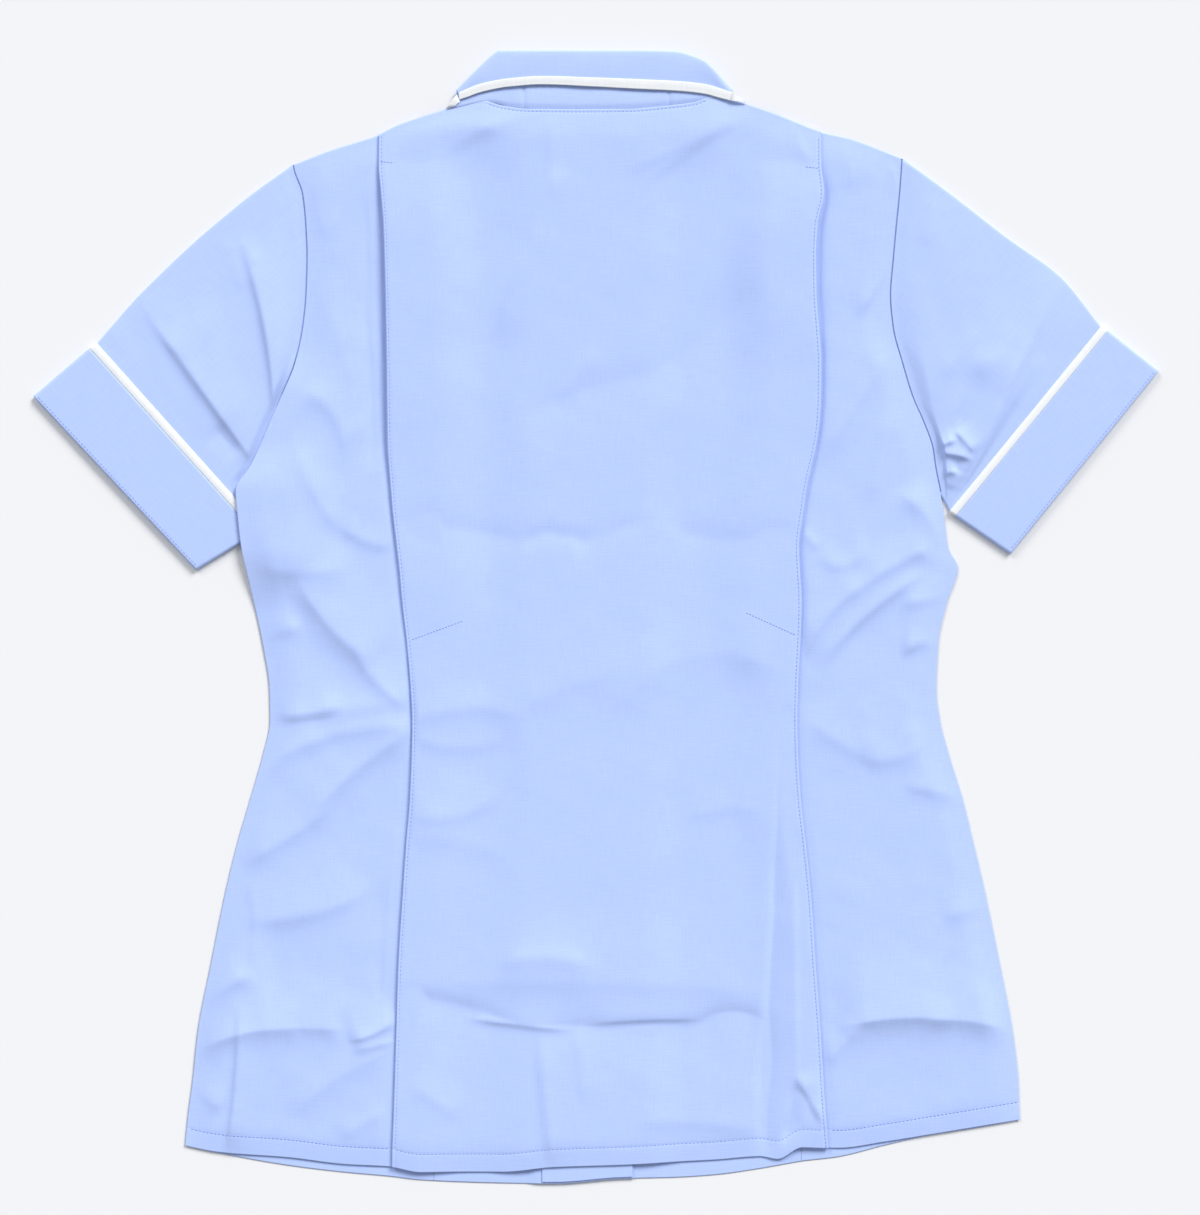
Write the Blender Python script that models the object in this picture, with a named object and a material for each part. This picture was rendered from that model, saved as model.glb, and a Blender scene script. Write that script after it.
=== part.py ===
"""A short-sleeved healthcare tunic, laid flat on its front with the back up.

The back has a centre panel whose edges fold under as two open pleats, and two side panels.
Seams run on from the pleats to the hem. The collar and the turn-back cuffs are edged with
white piping. Sizes are in millimetres, +X to the right, +Y to the neck, +Z up from the surface.
"""
import math

import bmesh
import bpy
import numpy as np

# Driving sizes
CLOTH = 1.0
SEAM_GAP = 0.3
LAYER = CLOTH + SEAM_GAP
ARMHOLE_GAP = 0.9
SLEEVE_PITCH = 1.8
PLEAT_PITCH = 1.6
PLEAT_WIDTH = 28.0
SEAM_ALLOWANCE = 11.0
PLEAT_END = -17.0
NECK_CORNER_RIGHT = 82.1
NECK_TOP = 359.0
NECK_POINT = 160.0
BUTTON_TOP = 100.0
OVERLAP_LEFT = -38.6
OVERLAP_RIGHT = 26.0
FRONT_SEAM_LEFT = -112.0
FRONT_SEAM_RIGHT = 141.5
BODY_FOOT = -370.0
BODY_HEAD = 340.0
CUFF_DEPTH = 50.0
PIPING_WIDTH = 6.0
FRONT_SET_IN = 2.0
COLLAR_ROLL = 1.5

# Heights of a wall's middle above the surface
FLOOR_MIDDLE = CLOTH / 2
OVER_MIDDLE = FLOOR_MIDDLE + LAYER
FACING_MIDDLE = OVER_MIDDLE + LAYER
BACK_OVER_FACING = FACING_MIDDLE + LAYER
NECK_MIDDLE = 3.4
PUFF = 1.5
EDGE_ROUNDING = 26.0

# Rows of points up the body, and turns in which a row settles between its edges, hem and top
SETTLING_TURNS = 8
BODY_LEVELS = 29
FRONT_LEVELS = 23

# Body by height: side edge (armhole above 87, side seam below) and pleat fold, left and right
BODY_COLUMNS = ("height", "side_left", "fold_left", "fold_right", "side_right")
BODY_ROWS = (
    (-372.0, -284.2, -140.6, 160.8, 296.0),
    (-347.0, -281.9, -139.6, 158.6, 292.5),
    (-320.0, -278.4, -138.7, 156.7, 291.5),
    (-285.0, -274.6, -137.6, 154.7, 287.4),
    (-241.0, -266.0, -136.3, 151.4, 279.0),
    (-190.0, -255.7, -133.1, 148.0, 268.5),
    (-157.0, -247.7, -130.9, 144.6, 260.8),
    (-126.0, -238.7, -128.3, 141.1, 253.2),
    (-95.0, -229.8, -127.0, 139.2, 243.6),
    (-71.0, -224.9, -126.6, 138.7, 237.4),
    (-50.0, -225.3, -127.6, 139.1, 234.9),
    (-17.0, -230.3, -130.4, 140.8, 236.4),
    (10.0, -236.1, -133.5, 141.6, 242.3),
    (34.0, -241.4, -135.6, 140.3, 249.8),
    (48.0, -244.3, -137.2, 139.7, 243.0),
    (72.0, -247.0, -140.0, 142.6, 239.9),
    (87.0, -248.2, -141.3, 144.8, 237.3),
    (104.0, -238.2, -142.6, 148.4, 233.9),
    (117.0, -232.1, -143.5, 151.4, 232.0),
    (135.0, -224.6, -143.8, 154.0, 225.6),
    (152.0, -216.9, -144.0, 154.8, 218.2),
    (175.0, -207.6, -144.2, 154.9, 211.2),
    (200.0, -202.2, -144.6, 153.4, 204.6),
    (222.0, -199.9, -145.0, 151.8, 202.7),
    (249.0, -199.1, -145.7, 151.5, 204.8),
    (270.0, -199.9, -146.4, 152.6, 206.7),
    (292.0, -202.2, -148.1, 157.0, 208.9),
    (312.0, -208.4, -149.7, 155.2, 210.4),
    (335.0, -208.4, -149.7, 155.2, 211.5),
)

# Shoulders and back neck, across
TOP_COLUMNS = ("x", "height")
TOP_ROWS = (
    (-208.4, 312.1), (-182.0, 322.2), (-149.7, 332.6), (-137.0, 338.8), (-113.0, 347.1), (-78.9, 356.0),
    (-64.9, 352.5), (-47.0, 350.3), (-12.0, 350.0), (23.0, 350.3), (49.6, 352.5), (67.2, 354.7),
    (82.1, 359.1), (98.7, 355.3), (122.8, 347.1), (155.2, 334.6), (175.3, 329.8), (211.0, 316.4),
)

# Hems of the back and of the fronts, which show below it, across
HEM_COLUMNS = ("x", "back", "front")
HEM_ROWS = (
    (-283.6, -364.7, -364.9), (-260.0, -369.1, -369.9), (-211.0, -372.9, -378.5), (-174.0, -377.4, -383.0),
    (-141.0, -379.2, -386.0), (-121.0, -382.7, -388.4), (-66.0, -382.7, -390.5), (-29.0, -379.2, -391.0),
    (17.0, -377.7, -387.6), (54.5, -375.8, -386.6), (82.0, -374.4, -384.8), (113.0, -372.1, -380.5),
    (125.0, -373.8, -378.4), (142.0, -365.6, -375.4), (167.0, -366.3, -372.4), (199.0, -362.0, -364.5),
    (230.0, -357.0, -357.6), (261.0, -351.9, -352.8), (290.5, -347.1, -347.3),
)

# Main folds: a bowed line from start to end, its height (a trough is below 0) and half width
FOLD_COLUMNS = ("x1", "y1", "x2", "y2", "bow", "height", "half_width")
CENTRE_FOLDS = (
    (104.0, 216.0, -25.0, 141.0, -14.0, -1.4, 18.0),
    (-31.7, 347.0, -48.3, 219.0, 8.0, 1.4, 9.0),
    (99.4, 343.0, 37.0, 301.0, 3.0, 1.6, 10.0),
    (-131.8, 70.0, -33.0, 51.0, 5.0, 2.0, 10.0),
    (-10.4, 51.0, 40.0, 77.0, -4.0, 2.0, 10.0),
    (40.0, 77.0, 59.0, 146.0, 3.0, 1.6, 10.0),
    (52.0, 57.0, 131.0, 64.0, -8.0, 1.6, 10.0),
    (-136.0, -260.0, 112.0, -276.0, -10.0, 1.8, 10.0),
    (130.0, -84.0, 113.0, -372.0, 5.0, 2.2, 10.0),
    (-38.0, -297.0, -28.0, -379.0, 3.0, 1.4, 10.0),
    (-120.0, -70.0, 130.0, -40.0, 14.0, 1.2, 24.0),
)
SIDE_FOLDS = (
    (-156.0, 280.0, -153.0, 112.0, 2.0, -1.4, 8.0),
    (-200.0, 236.0, -170.0, 150.0, 6.0, 1.4, 10.0),
    (-199.0, 104.0, -148.0, 55.0, -6.0, 1.8, 8.0),
    (-201.0, 17.0, -138.0, -48.0, 3.0, 2.6, 9.0),
    (-224.0, -70.0, -135.0, -78.0, 6.0, 2.0, 8.0),
    (-241.0, -168.0, -134.0, -86.0, -9.0, 2.4, 10.0),
    (-235.0, -209.0, -166.0, -193.0, 2.0, 1.8, 8.0),
    (-274.0, -300.0, -144.0, -279.0, 8.0, 2.2, 8.0),
    (-247.0, -290.0, -259.0, -369.0, 3.0, 2.2, 10.0),
    (165.0, -281.0, 284.0, -285.0, 7.0, 2.0, 8.0),
    (150.0, -10.0, 226.0, 49.0, 8.0, 2.4, 9.0),
    (148.0, -75.0, 223.0, -90.0, -22.0, 2.0, 9.0),
    (204.0, 183.0, 162.0, 120.0, 4.0, 1.8, 10.0),
)

# Main folds of the sleeves, in the same columns
SLEEVE_FOLDS = {
    "left": (
        (-317.0, 219.0, -239.0, 107.0, -5.0, 2.2, 10.0),
        (-247.0, 252.0, -226.0, 131.0, 4.0, 2.6, 9.0),
        (-300.0, 200.0, -262.0, 128.0, -3.0, -1.0, 12.0),
    ),
    "right": (
        (322.0, 236.0, 244.0, 89.0, 8.0, 3.4, 10.0),
        (286.0, 204.0, 240.0, 132.0, 0.0, 1.8, 10.0),
        (241.0, 292.0, 232.0, 268.0, 0.0, 1.6, 8.0),
    ),
}

# Sleeves: shoulder point, armpit, then the upper and lower corner at the cuff's free edge and at its piped edge
SLEEVE_COLUMNS = ("shoulder", "armpit", "free_top", "free_under", "piped_top", "piped_under")
SLEEVES = {
    "left": ((-208.4, 312.1), (-218.0, 118.0), (-387.0, 151.5), (-276.2, 33.6), (-348.4, 184.6), (-235.0, 58.5)),
    "right": ((211.0, 316.4), (238.4, 86.0), (387.0, 169.0), (286.2, 44.6), (352.0, 196.8), (248.5, 70.4)),
}
SLEEVE_STATIONS = (0.0, 0.12, 0.26, 0.4, 0.54, 0.68, 0.82, 0.94)

# How far a sleeve's top edge bows out from a straight line, by place along the sleeve
SLEEVE_TOP_COLUMNS = ("along", "left", "right")
SLEEVE_TOP_ROWS = ((0.0, 0.0, 0.0), (0.25, 4.6, 3.0), (0.5, 6.2, 4.8), (0.75, 5.0, 8.2), (1.0, 0.0, 0.0))

# Collar from the left shoulder to the right: neck seam, fold at its top and free edge of the fall
COLLAR_COLUMNS = ("along", "neck_x", "neck_y", "fold_x", "fold_y", "edge_x", "edge_y")
COLLAR_ROWS = (
    (0.0, -80.0, 357.4, -96.0, 363.0, -94.6, 360.2),
    (0.1, -70.0, 354.5, -82.0, 377.5, -81.0, 365.8),
    (0.2, -56.0, 351.9, -68.0, 389.0, -64.0, 369.6),
    (0.35, -34.0, 350.8, -38.0, 390.4, -36.0, 371.6),
    (0.5, -2.0, 350.7, -4.0, 390.4, -2.0, 370.6),
    (0.65, 30.0, 351.4, 28.0, 390.4, 30.0, 369.4),
    (0.8, 54.0, 353.6, 52.0, 390.0, 55.0, 368.2),
    (0.9, 69.0, 355.9, 72.0, 384.6, 74.0, 366.2),
    (1.0, 81.0, 359.6, 94.0, 362.8, 93.6, 360.4),
)

SKY_BLUE = (0.509, 0.651, 0.991, 1.0)
WHITE = (0.88, 0.89, 0.93, 1.0)


def columns(names, rows):
    """Make a table whose columns are read by name."""
    values = np.array(rows, dtype=float).T
    return dict(zip(names, values))


def read(table, by, column, at):
    """Read a smooth curve through one column of a table, with no overshoot."""
    knots = table[by]
    values = table[column]
    at = np.clip(np.asarray(at, dtype=float), knots[0], knots[-1])
    steps = np.diff(knots)
    slopes = np.diff(values) / steps
    turns = slopes[:-1] * slopes[1:] > 0.0
    sums = np.where(turns, slopes[:-1] + slopes[1:], 1.0)
    middle = np.where(turns, 2.0 * slopes[:-1] * slopes[1:] / sums, 0.0)
    tangents = np.concatenate((slopes[:1], middle, slopes[-1:]))
    cell = np.clip(np.searchsorted(knots, at, side="right") - 1, 0, len(steps) - 1)
    size = steps[cell]
    part = (at - knots[cell]) / size
    start = (1.0 + 2.0 * part) * (1.0 - part) ** 2 * values[cell]
    end = part ** 2 * (3.0 - 2.0 * part) * values[cell + 1]
    bend = part * (1.0 - part) * size * ((1.0 - part) * tangents[cell] - part * tangents[cell + 1])
    return start + end + bend


def rise(value, start, end):
    """Go smoothly from 0 at start to 1 at end."""
    part = np.clip((value - start) / (end - start), 0.0, 1.0)
    return part * part * (3.0 - 2.0 * part)


BODY = columns(BODY_COLUMNS, BODY_ROWS)
TOP = columns(TOP_COLUMNS, TOP_ROWS)
HEM = columns(HEM_COLUMNS, HEM_ROWS)
SLEEVE_TOP = columns(SLEEVE_TOP_COLUMNS, SLEEVE_TOP_ROWS)
COLLAR = columns(COLLAR_COLUMNS, COLLAR_ROWS)


def fold_form(folds, x, y):
    """Add up the soft ridges and troughs of a table of folds at each point."""
    total = np.zeros(np.shape(x))
    for row in folds:
        fold = dict(zip(FOLD_COLUMNS, row))
        along_x = fold["x2"] - fold["x1"]
        along_y = fold["y2"] - fold["y1"]
        length = math.hypot(along_x, along_y)
        reach = (x - fold["x1"]) * along_x + (y - fold["y1"]) * along_y
        part = np.clip(reach / length ** 2, 0.0, 1.0)
        arch = 4.0 * part * (1.0 - part) * fold["bow"] / length
        line_x = fold["x1"] + along_x * part - along_y * arch
        line_y = fold["y1"] + along_y * part + along_x * arch
        away = np.hypot(x - line_x, y - line_y) / fold["half_width"]
        fade = np.sqrt(rise(part, -0.05, 0.25) * rise(part, 1.05, 0.75))
        total += fold["height"] * fade * np.exp(-away * away)
    return total


def return_width(y):
    """Depth of the cloth folded under: a full pleat above the waist, a seam allowance below."""
    return SEAM_ALLOWANCE + (PLEAT_WIDTH - SEAM_ALLOWANCE) * rise(y, PLEAT_END - 35.0, PLEAT_END + 5.0)


def back_rest(x, y):
    """Height of the back where it lies straight on the fronts, or on the sleeve tucked under it."""
    overlap = rise(x, -78.0, -44.0) * rise(x, 62.0, 32.0)
    rest = OVER_MIDDLE + (BACK_OVER_FACING - OVER_MIDDLE) * overlap
    over_sleeve = 2.1 * rise(y, 184.0, 160.0) + 2.6 * rise(y, 110.0, 90.0)
    rest = rest + over_sleeve * rise(y, 18.0, 40.0) * rise(x, -190.0, -211.0)
    at_neck = rise(np.abs(x - 1.0), 110.0, 70.0) * rise(y, 300.0, 345.0)
    return rest + np.maximum(NECK_MIDDLE - rest, 0.0) * at_neck


def inside_edge(x, y):
    """Go from 0 at the body's outline to 1 where the back lies free of its edges."""
    from_side = np.minimum(x - read(BODY, "height", "side_left", y), read(BODY, "height", "side_right", y) - x)
    from_ends = np.minimum(read(TOP, "x", "height", x) - y, y - read(HEM, "x", "back", x))
    return rise(from_side, 1.0, EDGE_ROUNDING) * rise(from_ends, 1.0, EDGE_ROUNDING)


def back_height(x, y):
    """Height of the lower back layer: puffed and folded where it shows, plain under the pleats."""
    past_left = read(BODY, "height", "fold_left", y) - x
    past_right = x - read(BODY, "height", "fold_right", y)
    shows = rise(np.maximum(past_left, past_right), -2.0, 10.0)
    lift = PUFF + fold_form(SIDE_FOLDS, x, y) * shows
    return back_rest(x, y) + inside_edge(x, y) * np.maximum(lift, 0.0)


def body_grid(left, right, top, hem, row_count, stations):
    """Lay rows of points between two edges and between a top line and a hem."""
    parts_up = np.linspace(0.0, 1.0, row_count)
    rows = []
    for part_up in parts_up:
        y = np.full(len(stations), BODY_FOOT + (BODY_HEAD - BODY_FOOT) * part_up)
        for _ in range(SETTLING_TURNS):
            x = left(y) + (right(y) - left(y)) * stations
            y = hem(x) + (top(x) - hem(x)) * part_up
        rows.append(np.stack((x, y), axis=-1))
    return np.array(rows)


def normals(points, ring):
    """Direction out of a sheet at each of its points."""
    if ring:
        across = np.roll(points, -1, axis=1) - np.roll(points, 1, axis=1)
    else:
        across = np.gradient(points, axis=1)
    up = np.gradient(points, axis=0)
    out = np.cross(across, up)
    return out / np.linalg.norm(out, axis=-1, keepdims=True)


def material(name, colour):
    """Plain woven cloth of one colour."""
    cloth = bpy.data.materials.new(name)
    cloth.use_nodes = True
    shader = cloth.node_tree.nodes["Principled BSDF"]
    shader.inputs["Base Color"].default_value = colour
    shader.inputs["Roughness"].default_value = 0.8
    shader.inputs["Metallic"].default_value = 0.0
    return cloth


def sheet(name, points, cloth, ring=False):
    """Make one cut piece: a wall of cloth whose middle runs through a grid of points."""
    rows, across = points.shape[:2]
    mesh = bpy.data.meshes.new(name)
    shape = bmesh.new()
    corners = [shape.verts.new(point) for point in points.reshape(-1, 3) * 0.001]
    for row in range(rows - 1):
        for place in range(across if ring else across - 1):
            beside = (place + 1) % across
            shape.faces.new((
                corners[row * across + place],
                corners[row * across + beside],
                corners[(row + 1) * across + beside],
                corners[(row + 1) * across + place],
            ))
    bmesh.ops.triangulate(shape, faces=shape.faces[:], quad_method="SHORT_EDGE")
    shape.to_mesh(mesh)
    shape.free()
    mesh.shade_smooth()
    mesh.materials.append(cloth)
    piece = bpy.data.objects.new(name, mesh)
    bpy.context.collection.objects.link(piece)
    wall = piece.modifiers.new("cloth", "SOLIDIFY")
    wall.thickness = CLOTH * 0.001
    wall.offset = 0.0
    wall.use_even_offset = False
    return piece


def back_top(x):
    return read(TOP, "x", "height", x) - CLOTH / 2


def back_hem(x):
    return read(HEM, "x", "back", x) + CLOTH / 2


def front_hem(x):
    return read(HEM, "x", "front", x) + CLOTH / 2


def body_line(column, shift=0.0):
    """One edge of the body as a function of height, moved sideways."""
    return lambda y: read(BODY, "height", column, y) + shift


def pleat_section(side):
    """Points of one folded edge from the hidden seam, round the fold, to the panel's face."""
    bend = PLEAT_PITCH / 2
    section = [("return", 1.0, PLEAT_PITCH), ("return", 0.5, PLEAT_PITCH), ("return", 0.12, PLEAT_PITCH)]
    for turn in (45.0, 90.0, 135.0):
        angle = math.radians(turn)
        section.append(("bend", bend - bend * math.sin(angle), PLEAT_PITCH + bend - bend * math.cos(angle)))
    for inside in (1.5, 8.0, 18.0, 28.0):
        section.append(("face", inside, 2 * PLEAT_PITCH))
    return section if side == "left" else section[::-1]


def make_back_centre(cloth):
    """Back centre panel: its sides fold under as pleats and run on as seam allowances."""
    left = body_line("fold_left", CLOTH / 2)
    right = body_line("fold_right", -CLOTH / 2)
    middle = np.linspace(0.0, 1.0, 18)[1:-1]
    sections = [(side, pleat_section(side)) for side in ("left", "right")]
    plan = []
    for side, section in sections:
        for kind, inside, lift in section:
            plan.append((side, kind, inside, lift))
        if side == "left":
            plan.extend(("middle", "face", part, 0.0) for part in middle)
    points = np.zeros((BODY_LEVELS, len(plan), 3))
    for place, (side, kind, inside, lift) in enumerate(plan):
        for row in range(len(points)):
            part_up = row / (len(points) - 1)
            y = BODY_FOOT + (BODY_HEAD - BODY_FOOT) * part_up
            for _ in range(SETTLING_TURNS):
                if side == "middle":
                    x = left(y) + 36.0 + (right(y) - left(y) - 72.0) * inside
                else:
                    inward = inside * return_width(y) if kind == "return" else inside
                    x = left(y) + inward if side == "left" else right(y) - inward
                y = back_hem(x) + (back_top(x) - back_hem(x)) * part_up
            if kind == "face":
                edge = min(x - left(y), right(y) - x)
                stacked = rise(edge, return_width(y) + 40.0, return_width(y) + 3.0)
                folds = inside_edge(x, y) * fold_form(CENTRE_FOLDS, x, y) * rise(edge, 0.0, 8.0)
                lift = 2 * PLEAT_PITCH * stacked + max(folds, -PUFF * inside_edge(x, y) * (1.0 - stacked))
            points[row, place] = (x, y, back_height(x, y) + lift)
    return sheet("back_centre", points, cloth)


def make_back_side(side, cloth):
    """Back side panel: from the armhole and side seam to the hidden seam under the pleat."""
    stations = np.concatenate((np.linspace(0.0, 0.72, 9), np.linspace(0.82, 1.0, 3)))
    if side == "left":
        outer = body_line("side_left", CLOTH / 2)

        def inner(y):
            return read(BODY, "height", "fold_left", y) + CLOTH / 2 + return_width(y) - 0.2
        grid = body_grid(outer, inner, back_top, back_hem, BODY_LEVELS, stations)
    else:
        outer = body_line("side_right", -CLOTH / 2)

        def inner(y):
            return read(BODY, "height", "fold_right", y) - CLOTH / 2 - return_width(y) + 0.2
        grid = body_grid(inner, outer, back_top, back_hem, BODY_LEVELS, 1.0 - stations[::-1])
    height = back_height(grid[..., 0], grid[..., 1])
    points = np.concatenate((grid, height[..., None]), axis=-1)
    return sheet("back_side_" + side, points, cloth)


def front_side_line(side):
    """Side edge of a front, a little inside the back's; the left one makes room for the tucked sleeve."""
    inward = 1.0 if side == "left" else -1.0
    deepest = 24.0 if side == "left" else 2.0

    def line(y):
        beside_sleeve = rise(y, 20.0, 62.0) * rise(y, 172.0, 88.0)
        set_in = FRONT_SET_IN + CLOTH / 2 + deepest * beside_sleeve
        return read(BODY, "height", "side_" + side, y) + inward * set_in
    return line


def neck_line(y):
    """How far the front neckline stands from the middle at a height: a V down from the shoulders."""
    return np.interp(y, (NECK_POINT, NECK_TOP), (0.0, NECK_CORNER_RIGHT))


def front_top(x):
    return read(TOP, "x", "height", x) - CLOTH / 2 - FRONT_SET_IN


def make_front(name, left, right, middle_height, cloth, hem=front_hem, top=front_top, count=4):
    """One plain panel of the front, flat on the surface or on the panel that it overlaps."""
    grid = body_grid(left, right, top, hem, FRONT_LEVELS, np.linspace(0.0, 1.0, count))
    height = middle_height(grid[..., 0])
    points = np.concatenate((grid, height[..., None]), axis=-1)
    return sheet(name, points, cloth)


def flat(x):
    return np.full(np.shape(x), FLOOR_MIDDLE)


def stepped(x):
    """Height of the left front, which climbs over the edge of the right front."""
    return FLOOR_MIDDLE + LAYER * rise(x, OVERLAP_LEFT - 10.0, OVERLAP_LEFT - 1.0)


def make_fronts(cloth):
    """Two fronts of two panels each; the right one is outermost, so it lies lowest."""
    half_gap = SEAM_GAP / 2

    def neck_left(y):
        return np.where(y > NECK_POINT, -neck_line(y), np.interp(y, (BUTTON_TOP, NECK_POINT), (OVERLAP_RIGHT, 0.0)))

    def neck_right(y):
        return np.where(y > NECK_POINT, neck_line(y), np.interp(y, (BUTTON_TOP, NECK_POINT), (OVERLAP_LEFT, 0.0)))

    make_front("front_side_left", front_side_line("left"), lambda y: FRONT_SEAM_LEFT - half_gap + 0.0 * y, flat, cloth)
    make_front("front_side_right", lambda y: FRONT_SEAM_RIGHT + half_gap + 0.0 * y, front_side_line("right"), flat, cloth)
    make_front("front_centre_left", lambda y: FRONT_SEAM_LEFT + half_gap + 0.0 * y, neck_left, stepped, cloth, count=12)
    make_front("front_centre_right", neck_right, lambda y: FRONT_SEAM_RIGHT - half_gap + 0.0 * y, flat, cloth, count=5)
    make_front(
        "front_facing_left",
        lambda y: OVERLAP_LEFT + 1.5 + 0.0 * y,
        lambda y: OVERLAP_RIGHT - 1.0 + 0.0 * y,
        lambda x: np.full(np.shape(x), FACING_MIDDLE),
        cloth,
        hem=lambda x: front_hem(x) + 1.2,
        top=lambda x: BUTTON_TOP - 6.0 + 0.0 * x,
        count=3,
    )


def sleeve_points(side):
    """Rings of a flattened sleeve from the armhole to the free edge under the cuff."""
    corner = {name: np.array(place) for name, place in zip(SLEEVE_COLUMNS, SLEEVES[side])}
    shoulder = corner["shoulder"]
    armpit = corner["armpit"]
    outward = -1.0 if side == "left" else 1.0
    parts = np.linspace(0.0, 1.0, 10)
    armhole_y = shoulder[1] + (armpit[1] - shoulder[1]) * parts
    tucked = armpit[0] - read(BODY, "height", "side_" + side, armpit[1])
    lap = tucked * rise(armhole_y, 158.0, armpit[1]) if side == "left" else 0.0
    armhole_x = read(BODY, "height", "side_" + side, armhole_y) + outward * ARMHOLE_GAP + lap
    armhole = np.stack((armhole_x, armhole_y), axis=-1)
    armhole[0] = shoulder + (outward * ARMHOLE_GAP, 0.0)
    piped = corner["piped_top"] + (corner["piped_under"] - corner["piped_top"]) * parts[:, None]
    free = corner["free_top"] + (corner["free_under"] - corner["free_top"]) * parts[:, None]
    piping_part = PIPING_WIDTH / CUFF_DEPTH
    lines = []
    for along in SLEEVE_STATIONS:
        line = armhole + (piped + (piped - free) * piping_part - armhole) * along
        bulge = read(SLEEVE_TOP, "along", side, along)
        toward_top = (armhole[0] - armhole[-1]) / np.linalg.norm(armhole[0] - armhole[-1])
        sideways = np.array((outward * 0.66, 0.75))
        line = line + (0.5 * toward_top + sideways) / 1.3 * bulge * ((1.0 - parts) ** 3)[:, None]
        lines.append((line, 0.0 if along < 0.9 else 0.7, along))
    for part in (-piping_part, 0.0, 0.5, 1.0):
        lines.append((piped + (free - piped) * part, 1.0, 1.0))
    rings = []
    for line, raised, along in lines:
        lower = FLOOR_MIDDLE + LAYER * raised
        x = line[:, 0]
        y = line[:, 1]
        open_part = np.sin(math.pi * parts) ** 0.5
        bellied = rise(along, 0.0, 0.3) * (1.0 - 0.75 * raised)
        folds = fold_form(SLEEVE_FOLDS[side], x, y) * (1.0 - 0.6 * raised)
        clear = rise(outward * (x - read(BODY, "height", "side_" + side, y)), 0.0, 16.0)
        flat_upper = lower + SLEEVE_PITCH
        upper = flat_upper + open_part * bellied * clear * np.maximum(2.0 + folds, 0.2)
        if along == 0.0:
            seam = np.maximum(back_height(x - outward * ARMHOLE_GAP, y), flat_upper)
            upper = np.where((y < 165.0) & (side == "left"), flat_upper, seam)
        radius_top = (upper[0] - lower) / 2
        radius_under = (upper[-1] - lower) / 2
        first = line[0] - line[1]
        first = first / np.linalg.norm(first)
        last = line[-1] - line[-2]
        last = last / np.linalg.norm(last)
        upper_line = line.copy()
        upper_line[0] = line[0] - first * radius_top
        upper_line[-1] = line[-1] - last * radius_under
        ring = [(*point, high) for point, high in zip(upper_line, upper)]
        for turn in (45.0, 0.0, -45.0):
            angle = math.radians(turn)
            place = upper_line[-1] + last * radius_under * math.cos(angle)
            ring.append((*place, (upper[-1] + lower) / 2 + radius_under * math.sin(angle)))
        ring.extend((*point, lower) for point in upper_line[::-1])
        for turn in (-45.0, 0.0, 45.0):
            angle = math.radians(turn)
            place = upper_line[0] + first * radius_top * math.cos(angle)
            ring.append((*place, (upper[0] + lower) / 2 + radius_top * math.sin(angle)))
        rings.append(ring)
    return np.array(rings)


def between(points, start, end, first, last):
    """Rings of a tube from start to end, measured in rings."""
    rings = []
    for place in np.linspace(start, end, last - first + 1):
        low = int(min(math.floor(place), len(points) - 2))
        part = place - low
        rings.append(points[low] * (1.0 - part) + points[low + 1] * part)
    return np.array(rings)


def make_sleeve(side, cloth, white):
    """Sleeve, and round its end the turn-back cuff with its piping."""
    points = sleeve_points(side)
    out = normals(points, ring=True)
    if out[5, 5, 2] < 0.0:
        out = -out
    outside = points + out * LAYER
    sheet("sleeve_" + side, points, cloth, ring=True)
    piping_start = len(points) - 4
    cuff_start = piping_start + 1
    sheet("cuff_piping_" + side, between(outside, piping_start, cuff_start - 0.05, 0, 1), white, ring=True)
    cuff = between(outside, cuff_start, len(points) - 1, 0, 3)
    sheet("cuff_" + side, cuff, cloth, ring=True)


def collar_line(column, along):
    return read(COLLAR, "along", column, along)


def make_collar(cloth, white):
    """Collar: a stand sewn to the back neck, rolled over, and a piped fall lying back on it."""
    stations = np.linspace(0.0, 1.0, 19)
    rows = []
    piping = []
    for along in stations:
        neck = np.array((collar_line("neck_x", along), collar_line("neck_y", along) + 0.2))
        fold = np.array((collar_line("fold_x", along), collar_line("fold_y", along) - CLOTH / 2))
        edge = np.array((collar_line("edge_x", along), collar_line("edge_y", along)))
        up = (fold - neck) / np.linalg.norm(fold - neck)
        roll = COLLAR_ROLL * rise(np.linalg.norm(edge - fold), 0.0, 14.0) + 0.75
        stand_low = 1.6 + 1.0 * rise(abs(along - 0.5), 0.3, 0.5)
        section = []
        for part in (0.0, 0.3, 0.6, 0.9):
            place = neck + (fold - up * roll - neck) * part
            height = NECK_MIDDLE + (stand_low - NECK_MIDDLE) * rise(part, 0.1, 0.9)
            section.append((*place, height))
        for turn in (-90.0, -45.0, 0.0, 45.0, 90.0):
            angle = math.radians(turn)
            place = fold - up * roll + up * roll * math.cos(angle)
            section.append((*place, stand_low + roll + roll * math.sin(angle)))
        fall_top = fold - up * roll
        fall_height = stand_low + 2.0 * roll
        low = max(NECK_MIDDLE + LAYER + 0.1, stand_low + LAYER + 0.1)
        for part in (0.35, 0.7, 1.0):
            place = fall_top + (edge - fall_top) * part
            section.append((*place, fall_height + (low - fall_height) * rise(part, 0.0, 1.0)))
        rows.append(section)
        down = np.array((0.12 * (0.5 - along), -1.0))
        width = PIPING_WIDTH - 1.0 + 1.0 * rise(along, 0.3, 0.7) - 1.4 * rise(abs(along - 0.5), 0.42, 0.5)
        start = edge + down * SEAM_GAP
        piping.append([(*(start + down * width * part), low) for part in (0.0, 1.0)])
    sheet("collar", np.array(rows), cloth)
    sheet("collar_piping", np.array(piping), white)


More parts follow.
